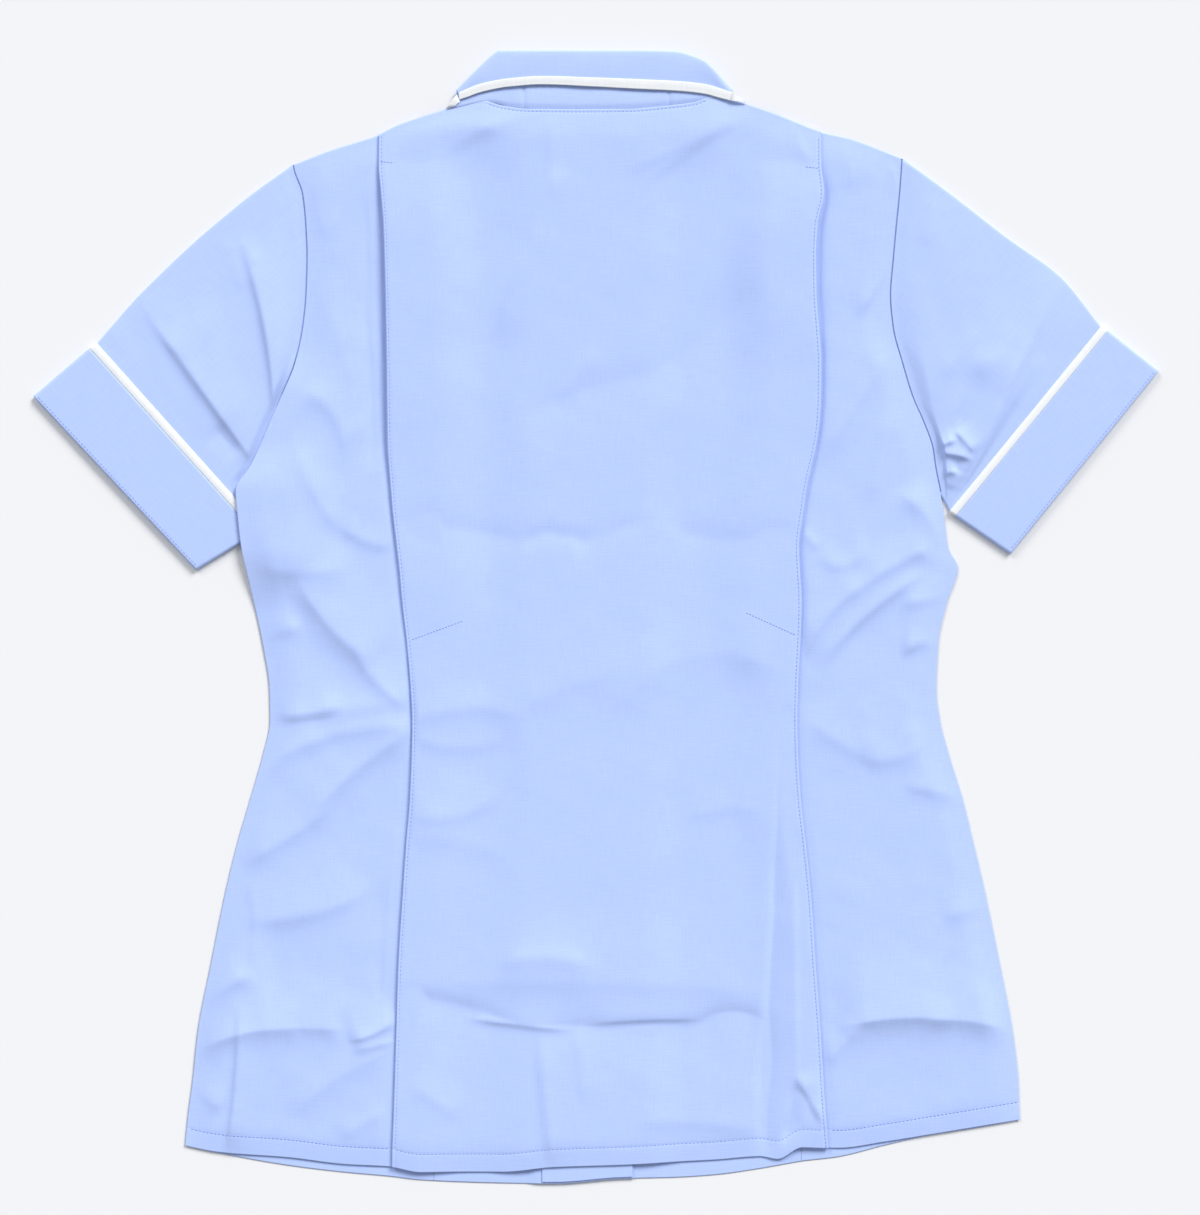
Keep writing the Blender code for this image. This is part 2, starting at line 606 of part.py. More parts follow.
def make_collar_end(side, cloth):
    """Front end of the collar: a plain strip along the neckline, from the shoulder to the V."""
    mirror = -1.0 if side == "left" else 1.0
    rows = []
    for y in np.linspace(NECK_POINT + 36.0, NECK_TOP - 13.0, 8):
        outer = neck_line(y) - SEAM_GAP
        width = min(34.0, outer - CLOTH)
        rows.append([(mirror * (outer - width * part), y, FLOOR_MIDDLE) for part in (0.0, 0.5, 1.0)])
    return sheet("collar_end_" + side, np.array(rows), cloth)


for old in list(bpy.data.objects):
    bpy.data.objects.remove(old)

blue_cloth = material("sky blue poly-cotton", SKY_BLUE)
white_cloth = material("white piping", WHITE)
make_fronts(blue_cloth)
make_collar_end("left", blue_cloth)
make_collar_end("right", blue_cloth)
for body_side in ("left", "right"):
    make_sleeve(body_side, blue_cloth, white_cloth)
    make_back_side(body_side, blue_cloth)
make_back_centre(blue_cloth)
make_collar(blue_cloth, white_cloth)
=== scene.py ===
"""A short-sleeved healthcare tunic of sky blue poly-cotton with white piping.

It lies flat on its front on a pale surface, with the back up. Tables are in millimetres, read
from above: +X to the right, +Y to the neck, +Z up from the surface.
"""
import math

import bpy
import numpy as np
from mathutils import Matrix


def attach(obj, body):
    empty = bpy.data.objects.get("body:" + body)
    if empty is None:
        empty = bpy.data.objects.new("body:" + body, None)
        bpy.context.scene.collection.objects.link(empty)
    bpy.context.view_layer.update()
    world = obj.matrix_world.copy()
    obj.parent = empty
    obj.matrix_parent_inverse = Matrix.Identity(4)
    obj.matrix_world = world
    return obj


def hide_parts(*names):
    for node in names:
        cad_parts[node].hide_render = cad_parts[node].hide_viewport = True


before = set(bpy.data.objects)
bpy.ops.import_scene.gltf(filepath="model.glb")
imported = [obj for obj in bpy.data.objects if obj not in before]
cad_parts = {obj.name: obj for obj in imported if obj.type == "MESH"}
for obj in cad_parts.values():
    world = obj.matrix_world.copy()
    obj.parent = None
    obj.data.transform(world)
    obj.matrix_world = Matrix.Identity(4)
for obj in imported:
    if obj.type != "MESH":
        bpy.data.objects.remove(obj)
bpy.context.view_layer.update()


# Fronts
# Two fronts of a centre and a side panel each lie face down on the surface, the left lapped
# over the right and faced inside the lap. They are plain woven poly-cotton, sewn at the seams
# and turned up once at the hem, which shows below the back.
MM = 0.001
CLOTH = 0.45
LAYER = 0.9
FLOOR_MIDDLE = 0.3
OVER_MIDDLE = FLOOR_MIDDLE + LAYER
FACING_MIDDLE = OVER_MIDDLE + LAYER
BODY_FOOT = -370.0
BODY_LENGTH = 710.0
FRONT_SET_IN = 2.0
FRONT_SEAM_LEFT = -112.0
FRONT_SEAM_RIGHT = 141.5
OVERLAP_LEFT = -38.6
OVERLAP_RIGHT = 26.0
NECK_CORNER_RIGHT = 82.1
NECK_TOP = 359.0
NECK_POINT = 160.0
LAP_TOP = 100.0
SEAM_GAP = 0.3
FACING_LENGTH = 480.0
FRONT_HEM_LEVEL = -380.0
FRONT_SLACK = 0.07
FRONT_THREAD_LIFT = 0.08

# A row's height depends on where its points lie across, and the other way round, so a grid is
# worked out in a few turns
SETTLING_TURNS = 8

# Body by height: side edge (armhole above 87, side seam below) and pleat fold, left and right
BODY_COLUMNS = ("height", "side_left", "fold_left", "fold_right", "side_right")
BODY_ROWS = (
    (-372, -284.2, -140.6, 160.8, 296),
    (-347, -281.9, -139.6, 158.6, 292.5),
    (-320, -278.4, -138.7, 156.7, 291.5),
    (-285, -274.6, -137.6, 154.7, 287.4),
    (-241, -266, -136.3, 151.4, 279),
    (-190, -255.7, -133.1, 148, 268.5),
    (-157, -247.7, -130.9, 144.6, 260.8),
    (-126, -238.7, -128.3, 141.1, 253.2),
    (-95, -229.8, -127, 139.2, 243.6),
    (-71, -224.9, -126.6, 138.7, 237.4),
    (-50, -225.3, -127.6, 139.1, 234.9),
    (-17, -230.3, -130.4, 140.8, 236.4),
    (10, -236.1, -133.5, 141.6, 242.3),
    (34, -241.4, -135.6, 140.3, 249.8),
    (48, -244.3, -137.2, 139.7, 243),
    (72, -247, -140, 142.6, 239.9),
    (87, -248.2, -141.3, 144.8, 237.3),
    (104, -238.2, -142.6, 148.4, 233.9),
    (117, -232.1, -143.5, 151.4, 232),
    (135, -224.6, -143.8, 154, 225.6),
    (152, -216.9, -144, 154.8, 218.2),
    (175, -207.6, -144.2, 154.9, 211.2),
    (200, -202.2, -144.6, 153.4, 204.6),
    (222, -199.9, -145, 151.8, 202.7),
    (249, -199.1, -145.7, 151.5, 204.8),
    (270, -199.9, -146.4, 152.6, 206.7),
    (292, -202.2, -148.1, 157, 208.9),
    (312, -208.4, -149.7, 155.2, 210.4),
    (335, -208.4, -149.7, 155.2, 211.5),
)

# Shoulders and back neck, across
TOP_COLUMNS = ("x", "height")
TOP_ROWS = (
    (-208.4, 312.1), (-182, 322.2), (-149.7, 332.6), (-137, 338.8), (-113, 347.1), (-78.9, 356),
    (-64.9, 352.5), (-47, 350.3), (-12, 350), (23, 350.3), (49.6, 352.5), (67.2, 354.7),
    (82.1, 359.1), (98.7, 355.3), (122.8, 347.1), (155.2, 334.6), (175.3, 329.8), (211, 316.4),
)

# Hems of the back and of the fronts, across
HEM_COLUMNS = ("x", "back", "front")
HEM_ROWS = (
    (-283.6, -364.7, -364.9), (-260, -369.1, -369.9), (-211, -372.9, -378.5), (-174, -377.4, -383),
    (-141, -379.2, -386), (-121, -382.7, -388.4), (-66, -382.7, -390.5), (-29, -379.2, -391),
    (17, -377.7, -387.6), (54.5, -375.8, -386.6), (82, -374.4, -384.8), (113, -372.1, -380.5),
    (125, -373.8, -378.4), (142, -365.6, -375.4), (167, -366.3, -372.4), (199, -362, -364.5),
    (230, -357, -357.6), (261, -351.9, -352.8), (290.5, -347.1, -347.3),
)


def columns(names, rows):
    """Make a table whose columns are read by name."""
    values = np.array(rows, dtype=float).T
    return dict(zip(names, values))


def read(table, by, column, at):
    """Read a smooth curve through one column of a table, with no overshoot."""
    knots = table[by]
    values = table[column]
    at = np.clip(np.asarray(at, dtype=float), knots[0], knots[-1])
    steps = np.diff(knots)
    slopes = np.diff(values) / steps
    turns = slopes[:-1] * slopes[1:] > 0.0
    sums = np.where(turns, slopes[:-1] + slopes[1:], 1.0)
    middle = np.where(turns, 2.0 * slopes[:-1] * slopes[1:] / sums, 0.0)
    tangents = np.concatenate((slopes[:1], middle, slopes[-1:]))
    cell = np.clip(np.searchsorted(knots, at, side="right") - 1, 0, len(steps) - 1)
    size = steps[cell]
    part = (at - knots[cell]) / size
    start = (1.0 + 2.0 * part) * (1.0 - part) ** 2 * values[cell]
    end = part ** 2 * (3.0 - 2.0 * part) * values[cell + 1]
    bend = part * (1.0 - part) * size * ((1.0 - part) * tangents[cell] - part * tangents[cell + 1])
    return start + end + bend


def rise(value, start, end):
    """Go smoothly from 0 at start to 1 at end."""
    part = np.clip((value - start) / (end - start), 0.0, 1.0)
    return part * part * (3.0 - 2.0 * part)


def ripple(x, y, size, seed):
    """Uneven waves of about one size, as slack cloth has them."""
    chance = np.random.default_rng(seed)
    total = np.zeros(np.shape(x))
    for _ in range(14):
        angle = chance.uniform(0.0, math.tau)
        length = size * chance.uniform(0.7, 1.6)
        phase = chance.uniform(0.0, math.tau)
        total += np.sin((x * math.cos(angle) + y * math.sin(angle)) * math.tau / length + phase)
    return total / math.sqrt(14)


BODY = columns(BODY_COLUMNS, BODY_ROWS)
TOP = columns(TOP_COLUMNS, TOP_ROWS)
HEM = columns(HEM_COLUMNS, HEM_ROWS)


def body_at(column, y):
    """How far across one of the body's lines stands at a height."""
    return read(BODY, "height", column, y)


def unit(vector):
    """A direction, one long."""
    return vector / np.linalg.norm(vector)


def linear(hex_colour):
    """Turn an sRGB hex colour into the linear colour that a shader takes."""
    channels = [int(hex_colour[place:place + 2], 16) / 255.0 for place in (1, 3, 5)]
    return (*[c / 12.92 if c <= 0.04045 else ((c + 0.055) / 1.055) ** 2.4 for c in channels], 1.0)


def add_node(tree, kind, settings, links=()):
    """Add a node with its settings and links; a setting is a property or an input."""
    node = tree.nodes.new(kind)
    for name, value in settings.items():
        if isinstance(name, str) and hasattr(node, name):
            setattr(node, name, value)
        else:
            node.inputs[name].default_value = value
    for name, source in dict(links).items():
        tree.links.new(source, node.inputs[name])
    return node


# Streaks in a metre of cloth, across the threads and along them
THREADS_ACROSS = 1300.0
THREADS_ALONG = 70.0


def woven(name, shade, body, light, sheen, roughness):
    """Plain weave of spun thread: uneven warp and weft streaks over a low, even relief.

    Threads are 0.35 mm apart in the real cloth. They are drawn about 0.8 mm wide, so that the
    grain shows from arm's length.
    """
    cloth = bpy.data.materials.new(name)
    cloth.use_nodes = True
    tree = cloth.node_tree
    shader = tree.nodes["Principled BSDF"]
    grain = add_node(tree, "ShaderNodeUVMap", {"uv_map": "grain"})
    noise = {"noise_dimensions": "2D", "Scale": 1.0, "Detail": 2.0, "Roughness": 0.6}
    streaks = []
    for stretch in ((THREADS_ACROSS, THREADS_ALONG, 1.0), (THREADS_ALONG, THREADS_ACROSS, 1.0)):
        run = add_node(tree, "ShaderNodeMapping", {"Scale": stretch}, {"Vector": grain.outputs["UV"]})
        streak = add_node(tree, "ShaderNodeTexNoise", noise, {"Vector": run.outputs["Vector"]})
        streaks.append(streak.outputs["Fac"])
    threads = add_node(tree, "ShaderNodeMath", {"operation": "ADD"}, dict(enumerate(streaks)))
    blotches = add_node(
        tree,
        "ShaderNodeTexNoise",
        {"noise_dimensions": "2D", "Scale": 28.0, "Detail": 3.0, "Roughness": 0.55},
        {"Vector": grain.outputs["UV"]},
    )
    spread = add_node(
        tree,
        "ShaderNodeMapRange",
        {"From Min": 0.7, "From Max": 1.3, "To Min": 0.0, "To Max": 1.0},
        {"Value": threads.outputs["Value"]},
    )
    mottled = add_node(
        tree,
        "ShaderNodeMix",
        {"data_type": "FLOAT", "Factor": 0.25},
        {"A": spread.outputs["Result"], "B": blotches.outputs["Fac"]},
    )
    colours = add_node(tree, "ShaderNodeValToRGB", {}, {"Fac": mottled.outputs["Result"]})
    ramp = colours.color_ramp
    ramp.elements[0].color = linear(shade)
    ramp.elements[1].color = linear(light)
    middle = ramp.elements.new(0.5)
    middle.color = linear(body)
    relief = add_node(
        tree, "ShaderNodeBump", {"Strength": 0.35, "Distance": 0.00012}, {"Height": threads.outputs["Value"]}
    )
    tree.links.new(colours.outputs["Color"], shader.inputs["Base Color"])
    tree.links.new(relief.outputs["Normal"], shader.inputs["Normal"])
    shader.inputs["Roughness"].default_value = roughness
    shader.inputs["Specular IOR Level"].default_value = 0.25
    shader.inputs["Sheen Weight"].default_value = sheen
    shader.inputs["Sheen Roughness"].default_value = 0.5
    return cloth


# Poly-cotton poplin, woven and pressed: even pale blue, dull, with a faint sheen on the folds
POLY_COTTON = woven("woven poly-cotton, sky blue", "#B0C4F5", "#B4C8F8", "#B8CBFA", 0.12, 0.78)

# Spun polyester sewing thread, coloured darker than the cloth as painted shade: the dark colour stands in for
# the shadow in the stitch holes, so that a row of stitches reads
THREAD_PAINTED_SHADE = woven("spun polyester thread, darkened as painted shade", "#8198D6", "#8BA2DF", "#97ADE7", 0.05, 0.85)


def add_mesh(name, ending, points, faces, grain, finish):
    """Add an object from points and faces in millimetres, with a map that its weave follows."""
    mesh = bpy.data.meshes.new(name)
    mesh.from_pydata((points * MM).tolist(), [], faces)
    mesh.shade_smooth()
    used = np.empty(len(mesh.loops), dtype=np.int32)
    mesh.loops.foreach_get("vertex_index", used)
    layer = mesh.uv_layers.new(name="grain")
    layer.data.foreach_set("uv", (grain[used] * MM).ravel())
    mesh.materials.append(finish)
    added = bpy.data.objects.new(name + ending, mesh)
    bpy.context.collection.objects.link(added)
    return added


def cut_piece(name, points, finish, ring=False, grain=None):
    """Make one cut piece: a thin wall of cloth whose middle runs through a grid of points."""
    rows, across = points.shape[:2]
    places = np.arange(rows * across).reshape(rows, across)
    if ring:
        places = np.concatenate((places, places[:, :1]), axis=1)
    corners = np.stack((places[:-1, :-1], places[:-1, 1:], places[1:, 1:], places[1:, :-1]), axis=-1)
    if grain is None:
        grain = points[..., :2]
    piece = add_mesh(
        name, "_cloth", points.reshape(-1, 3), corners.reshape(-1, 4).tolist(), grain.reshape(-1, 2), finish
    )
    wall = piece.modifiers.new("cloth", "SOLIDIFY")
    wall.thickness = CLOTH * MM
    wall.offset = 0.0
    wall.use_even_offset = False
    return piece


# Rings round one stitch: how far along it, how thick against its middle, how high
STITCH_RINGS = ((0.0, 0.4, -0.16), (0.25, 1.0, 0.1), (0.75, 1.0, 0.1), (1.0, 0.4, -0.16))
STITCH_SIDES = 5


def sew(name, path, pitch=2.7, stitch=2.1, thick=0.34):
    """Make a row of lockstitches along points on the cloth's face: small arched threads."""
    steps = np.linalg.norm(np.diff(path, axis=0), axis=1)
    run = np.concatenate(([0.0], np.cumsum(steps)))
    verts = []
    faces = []
    for start in np.arange(0.3, run[-1] - stitch, pitch):
        near, far = (
            np.array([np.interp(start + part, run, path[:, axis]) for axis in range(3)])
            for part in (0.0, stitch)
        )
        ahead = unit(far - near)
        side = unit(np.cross(ahead, (0.0, 0.0, 1.0)))
        up = np.cross(side, ahead)
        first = len(verts)
        for part, fat, lift in STITCH_RINGS:
            middle = near + (far - near) * part + up * lift
            radius = thick / 2 * fat
            for turn in range(STITCH_SIDES):
                angle = math.tau * turn / STITCH_SIDES
                verts.append(middle + side * radius * math.cos(angle) + up * radius * math.sin(angle))
        last = len(verts) - STITCH_SIDES
        for low in range(first, last, STITCH_SIDES):
            beyond = low + STITCH_SIDES
            for turn in range(STITCH_SIDES):
                beside = (turn + 1) % STITCH_SIDES
                faces.append((low + turn, beyond + turn, beyond + beside, low + beside))
        faces.append(tuple(range(first, first + STITCH_SIDES)))
        faces.append(tuple(last + turn for turn in reversed(range(STITCH_SIDES))))
    places = np.array(verts)
    # The thread's darker colour is painted shade for the shadowed stitch holes
    seam = add_mesh(name, "", places, faces, places[:, :2], THREAD_PAINTED_SHADE)
    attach(seam, "root")
    return seam


def wear(piece):
    """Give a cut piece its place on the garment: fix it to the root, and hide the part that it replaces."""
    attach(piece, "root")
    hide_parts(piece.name.removesuffix("_cloth"))


def body_grid(left, right, top, hem, parts_up, stations):
    """Lay rows of points between two edges and between a top line and a hem."""
    parts_up = parts_up[:, None]
    y = BODY_FOOT + BODY_LENGTH * parts_up + 0.0 * stations
    for _ in range(SETTLING_TURNS):
        x = left(y) + (right(y) - left(y)) * stations
        y = hem(x) + (top(x) - hem(x)) * parts_up
    return x, y


def front_hem(x):
    return read(HEM, "x", "front", x) + CLOTH / 2


def front_top(x):
    return read(TOP, "x", "height", x) - CLOTH / 2 - FRONT_SET_IN


def front_side_line(side):
    """Side edge of a front, set in from the back's; the left one makes room for the tucked sleeve."""
    inward = 1.0 if side == "left" else -1.0
    deepest = 24.0 if side == "left" else 2.0

    def line(y):
        beside_sleeve = rise(y, 20.0, 62.0) * rise(y, 172.0, 88.0)
        return body_at("side_" + side, y) + inward * (FRONT_SET_IN + CLOTH / 2 + deepest * beside_sleeve)
    return line


def straight(place):
    return lambda y: place + 0.0 * y


def neck_line(y):
    """How far the front neckline stands from the middle: a V down from the shoulders."""
    return np.interp(y, (NECK_POINT, NECK_TOP), (0.0, NECK_CORNER_RIGHT))


def neck_edge(outward, overlap):
    """Inner edge of a front: down the neckline to its point, then out to the overlap."""

    def line(y):
        lapped = np.interp(y, (LAP_TOP, NECK_POINT), (overlap, 0.0))
        return np.where(y > NECK_POINT, outward * neck_line(y), lapped)
    return line


def front_rest(x, y):
    return FLOOR_MIDDLE + 0.0 * x


def lap_rest(x, y):
    """Height of the left front, which climbs over the edge of the right front."""
    return FLOOR_MIDDLE + LAYER * rise(x, OVERLAP_LEFT - 10.0, OVERLAP_LEFT - 1.0)


# Rows of a panel crowd together at its hem, where the cloth is turned up and stitched
HEM_TURN = 12.5
PANEL_LENGTH = 725.0
hem_offsets = np.array([0.0, 0.5, 1.2, 2.5, 5.0, 8.0, 10.5, 11.6, 12.1, 12.5, 12.9, 13.4, 14.5, 16.5])
front_parts = np.concatenate((hem_offsets / PANEL_LENGTH, np.linspace(0.028, 1.0, 90)))


def hem_relief(above_hem):
    """Low form of a turned-up hem: a little more bulk below its stitches, and a groove along them."""
    bulk = 0.12 * rise(above_hem, HEM_TURN, HEM_TURN - 8.0)
    groove = -0.15 * np.exp(-((above_hem - HEM_TURN) / 0.7) ** 2)
    return bulk + groove


def crowd_edges(count):
    """Stations across a panel, crowded at its two edges so that only the very edge is rounded."""
    return np.concatenate(((0.0, 0.004, 0.012), np.linspace(0.03, 0.97, count), (0.988, 0.996, 1.0)))


def front_piece(name, left, right, rest, across):
    """One panel of the front, plain where the back hides it."""
    x, y = body_grid(left, right, front_top, front_hem, front_parts, crowd_edges(across))
    above_hem = y - front_hem(x)
    showing = rise(y, -330.0, -375.0)
    slack = FRONT_SLACK * ripple(x, y, 55.0, 3) * rise(above_hem, 0.0, 6.0)
    height = np.maximum(rest(x, y) + showing * (hem_relief(above_hem) + slack), CLOTH / 2)
    piece = cut_piece(name, np.stack((x, y, height), axis=-1), POLY_COTTON)
    at_hem = np.array(FRONT_HEM_LEVEL)
    along = np.linspace(left(at_hem) + 1.0, right(at_hem) - 1.0, 60)
    seam_y = front_hem(along) + HEM_TURN
    seam_z = rest(along, seam_y) + CLOTH / 2 + FRONT_THREAD_LIFT
    stitches = sew(name + "_hem_stitch", np.stack((along, seam_y, seam_z), axis=-1))
    wear(piece)


half_gap = 0.05
front_piece(
    "front_side_left", front_side_line("left"), straight(FRONT_SEAM_LEFT - half_gap), front_rest,
    30,
)
front_piece(
    "front_side_right", straight(FRONT_SEAM_RIGHT + half_gap), front_side_line("right"), front_rest,
    28,
)
front_piece(
    "front_centre_left", straight(FRONT_SEAM_LEFT + half_gap), neck_edge(-1.0, OVERLAP_RIGHT), lap_rest,
    48,
)
front_piece(
    "front_centre_right", neck_edge(1.0, OVERLAP_LEFT), straight(FRONT_SEAM_RIGHT - half_gap), front_rest,
    40,
)
facing_x, facing_y = body_grid(
    straight(OVERLAP_LEFT + 1.5),
    straight(OVERLAP_RIGHT - 1.0),
    straight(LAP_TOP - 6.0),
    lambda x: front_hem(x) + 1.2,
    np.concatenate((hem_offsets / FACING_LENGTH, np.linspace(0.05, 0.98, 20), (0.995, 1.0))),
    crowd_edges(6),
)
facing = cut_piece(
    "front_facing_left", np.stack((facing_x, facing_y, FACING_MIDDLE + 0.0 * facing_x), axis=-1), POLY_COTTON
)
wear(facing)


# Back side panels
# One to each side, from the armhole and side seam to the hidden seam inside the pleat. They are
# the same poly-cotton, slack from packing, so that folds cross them from the side seam.
BACK_OVER_FACING = 3.0
NECK_MIDDLE = 3.4
PUFF = 1.5
EDGE_ROUNDING = 22.0

# A fold's crest is rounded over CREST. It fades in from FOLD_RUN_OUT of its length before its start
# to FOLD_FADE after it, and out again in the same way
CREST = 0.8
FOLD_RUN_OUT = 0.14
FOLD_FADE = 0.24
FOLD_SHARPNESS = 1.15
SEAM_DROP = 0.15
STITCH_INSET = 1.9
BACK_THREAD_LIFT = 0.02
HIDDEN_SET_BACK = 0.2
PLEAT_PITCH = 1.0
PLEAT_WIDTH = 28.0
SEAM_ALLOWANCE = 11.0
PLEAT_END = -17.0

# Pleats by height: how far each fold edge stands open, and how deep and wide the dip beside it is
PLEAT_COLUMNS = ("height", "open_left", "dip_left", "wide_left", "open_right", "dip_right", "wide_right")
PLEAT_ROWS = (
    (-372, 0, 0.7, 2.6, 0, 0.7, 2.6),
    (-60, 0, 0.8, 2.6, 0, 0.5, 2.4),
    (-20, 0, 0.2, 2.6, 0.1, 0.3, 2.2),
    (40, 0.3, 0.5, 3, 0.4, 0.8, 2.4),
    (90, 0.3, 0.6, 3, 0.4, 0.7, 2.4),
    (120, 0.6, 1.2, 4, 0.4, 0.7, 2.4),
    (160, 1, 1.7, 6.5, 0.7, 1.2, 3),
    (210, 1.2, 1.9, 8, 1.1, 1.7, 4),
    (260, 1.2, 1.9, 7, 1.2, 1.9, 4.4),
    (288, 0.8, 1.5, 5, 0.9, 1.6, 3.6),
    (306, 0.3, 0.6, 3, 0.3, 0.7, 2.6),
    (316, 0, 0.3, 2.4, 0, 0.3, 2.4),
    (340, 0, 0.3, 2.4, 0, 0.3, 2.4),
)

# A fold is a bowed line from start to end. Its height is below 0 in a trough, and each width is
# how far it runs out to the left and to the right of someone who walks along it
FOLD_COLUMNS = ("x1", "y1", "x2", "y2", "bow", "height", "left_width", "right_width")
SIDE_FOLDS = (
    (-159.5, 284, -159, 196, 1, -1.2, 4, 8),
    (-158.5, 206, -154, 108, 1, -1.2, 3.5, 8),
    (-200, 238, -168, 150, 6, 1, 14, 16),
    (-201, 156, -172, 112, 8, 1.7, 16, 6),
    (-207, 120, -175, 59, -4, 1.5, 16, 7),
    (-175, 62, -141, 49, -3, 1.4, 14, 4),
    (-232, 34, -171, 34, -3, 1.4, 18, 7),
    (-203, 22, -158, -28, -4, 3.2, 24, 8),
    (-166, -22, -129, -62, -4, 2.4, 18, 6),
    (-233, -18, -204, -7, 2, 1.5, 14, 5),
    (-226, -69, -176, -62, -2, 2, 14, 2),
    (-190, -67, -138, -59, 0, 1, 14, 5),
    (-236, -112, -189, -84, 4, 1.8, 20, 7),
    (-196, -86, -128, -76, 4, 1.6, 18, 6),
    (-243, -168, -183, -130, -3, 2, 22, 7),
    (-194, -134, -127, -78, 4, 2.6, 24, 8),
    (-235, -209, -160, -191, -4, 1.9, 28, 7),
    (-237, -186, -241, -250, 4, 0.8, 8, 3),
    (-270, -268, -238, -247, 3, 1.8, 14, 5),
    (-277, -300, -212, -283, 5, 3.8, 36, 9),
    (-218, -283, -176, -284, 1, 2.4, 32, 8),
    (-168, -291, -138, -277, -2, 2.3, 18, 3.5),
    (-166, -298, -138, -292, 0, 1.2, 7, 4),
    (-146, -190, -148, -282, -2, -0.8, 4, 8),
    (-206, -338, -142, -299, 3, 1.4, 18, 8),
    (-176, -357, -146, -341, 0, 1, 10, 6),
    (-280, -322, -258, -338, 0, 1.5, 10, 6),
    (-245, -278, -257, -392, 2, 2.6, 13, 2),
    (171, -281, 240, -276, 3, 4.2, 38, 9),
    (230, -277, 290, -287, 4, 3.6, 34, 9),
    (159, -307, 180, -282, 0, 1.3, 10, 6),
    (206, 247, 182, 210, 0, 1.4, 2.2, 9),
    (203, 312, 206.5, 290, 2, 3.4, 3, 2),
    (207, 190, 158, 114, 0, 1.5, 8, 20),
    (201, 142, 190, 80, 0, 1.2, 9, 9),
    (210, 84, 238, 44, 7, 2.4, 20, 8),
    (156, 38, 186, 44, -5, 1, 12, 4),
    (143, 58, 153, 48, 0, 0.9, 3, 3),
    (146, -22, 189, 25, 6, 2.4, 20, 6),
    (186, 24, 230, 48, 1, 2.4, 18, 5),
    (158, -28, 222, 28, 4, 2.2, 11, 4),
    (212, 10, 244, 13, 0, 1.6, 10, 4),
    (212, -24, 238, -22, 5, 2, 14, 3),
    (148, -72, 191, -98, -2, 1.4, 24, 8),
    (185, -98, 225, -88, -4, 1.6, 26, 7),
    (213, -115, 256, -125, 0, 1.5, 16, 5),
    (240, -206, 274, -198, 0, 1.1, 14, 5),
    (172, 330, 176, 296, 0, 0.8, 10, 12),
    (-196, 300, -187, 262, 0, 0.9, 6, 10),
)


PLEATS = columns(PLEAT_COLUMNS, PLEAT_ROWS)


def fold_form(folds, x, y):
    """Add up the soft ridges and troughs of a table of folds at each point."""
    total = np.zeros(np.shape(x))
    for row in folds:
        fold = dict(zip(FOLD_COLUMNS, row))
        along_x = fold["x2"] - fold["x1"]
        along_y = fold["y2"] - fold["y1"]
        length = math.hypot(along_x, along_y)
        part = ((x - fold["x1"]) * along_x + (y - fold["y1"]) * along_y) / length ** 2
        part = np.clip(part, -FOLD_RUN_OUT, 1.0 + FOLD_RUN_OUT)
        arch = 4.0 * part * (1.0 - part) * fold["bow"] / length
        from_x = x - (fold["x1"] + along_x * part - along_y * arch)
        from_y = y - (fold["y1"] + along_y * part + along_x * arch)
        on_left = from_y * along_x - from_x * along_y > 0.0
        width = np.where(on_left, fold["left_width"], fold["right_width"])
        away = (np.sqrt(from_x ** 2 + from_y ** 2 + CREST ** 2) - CREST) / width
        fade = rise(part, -FOLD_RUN_OUT, FOLD_FADE) * rise(1.0 - part, -FOLD_RUN_OUT, FOLD_FADE)
        total += fold["height"] * fade * np.exp(-away ** FOLD_SHARPNESS)
    return total


def return_width(y):
    """Depth of the cloth folded under: a full pleat above the waist, a seam allowance below."""
    return SEAM_ALLOWANCE + (PLEAT_WIDTH - SEAM_ALLOWANCE) * rise(y, PLEAT_END - 35.0, PLEAT_END + 5.0)


def back_rest(x, y):
    """Height of the back where it lies straight on the fronts, or on the sleeve tucked under it."""
    overlap = rise(x, -78.0, -44.0) * rise(x, 62.0, 32.0)
    rest = OVER_MIDDLE + (BACK_OVER_FACING - OVER_MIDDLE) * overlap
    over_sleeve = 2.1 * rise(y, 190.0, 156.0) + 2.6 * rise(y, 122.0, 86.0)
    rest = rest + over_sleeve * rise(y, 0.0, 48.0) * rise(x, -172.0, -214.0)
    at_neck = rise(np.abs(x - 1.0), 110.0, 70.0) * rise(y, 300.0, 345.0)
    return rest + np.maximum(NECK_MIDDLE - rest, 0.0) * at_neck


def inside_edge(x, y):
    """Go from 0 at the body's outline to 1 where the back lies free of its edges."""
    from_side = np.minimum(x - body_at("side_left", y), body_at("side_right", y) - x)
    from_ends = np.minimum(read(TOP, "x", "height", x) - y, y - read(HEM, "x", "back", x))
    return rise(from_side, -2.0, EDGE_ROUNDING) * rise(from_ends, -6.0, EDGE_ROUNDING)


def past_fold(x, y):
    """How far a point lies outside the pleat folds."""
    return np.maximum(body_at("fold_left", y) - x, x - body_at("fold_right", y))


def plain_back(x, y):
    """Height of the back without its folds."""
    return back_rest(x, y) + inside_edge(x, y) * PUFF


def pleat_value(kind, x, y):
    """One value of the pleat on the same side as each point."""
    left, right = (read(PLEATS, "height", kind + side, y) for side in ("_left", "_right"))
    return np.where(x < 0.0, left, right)


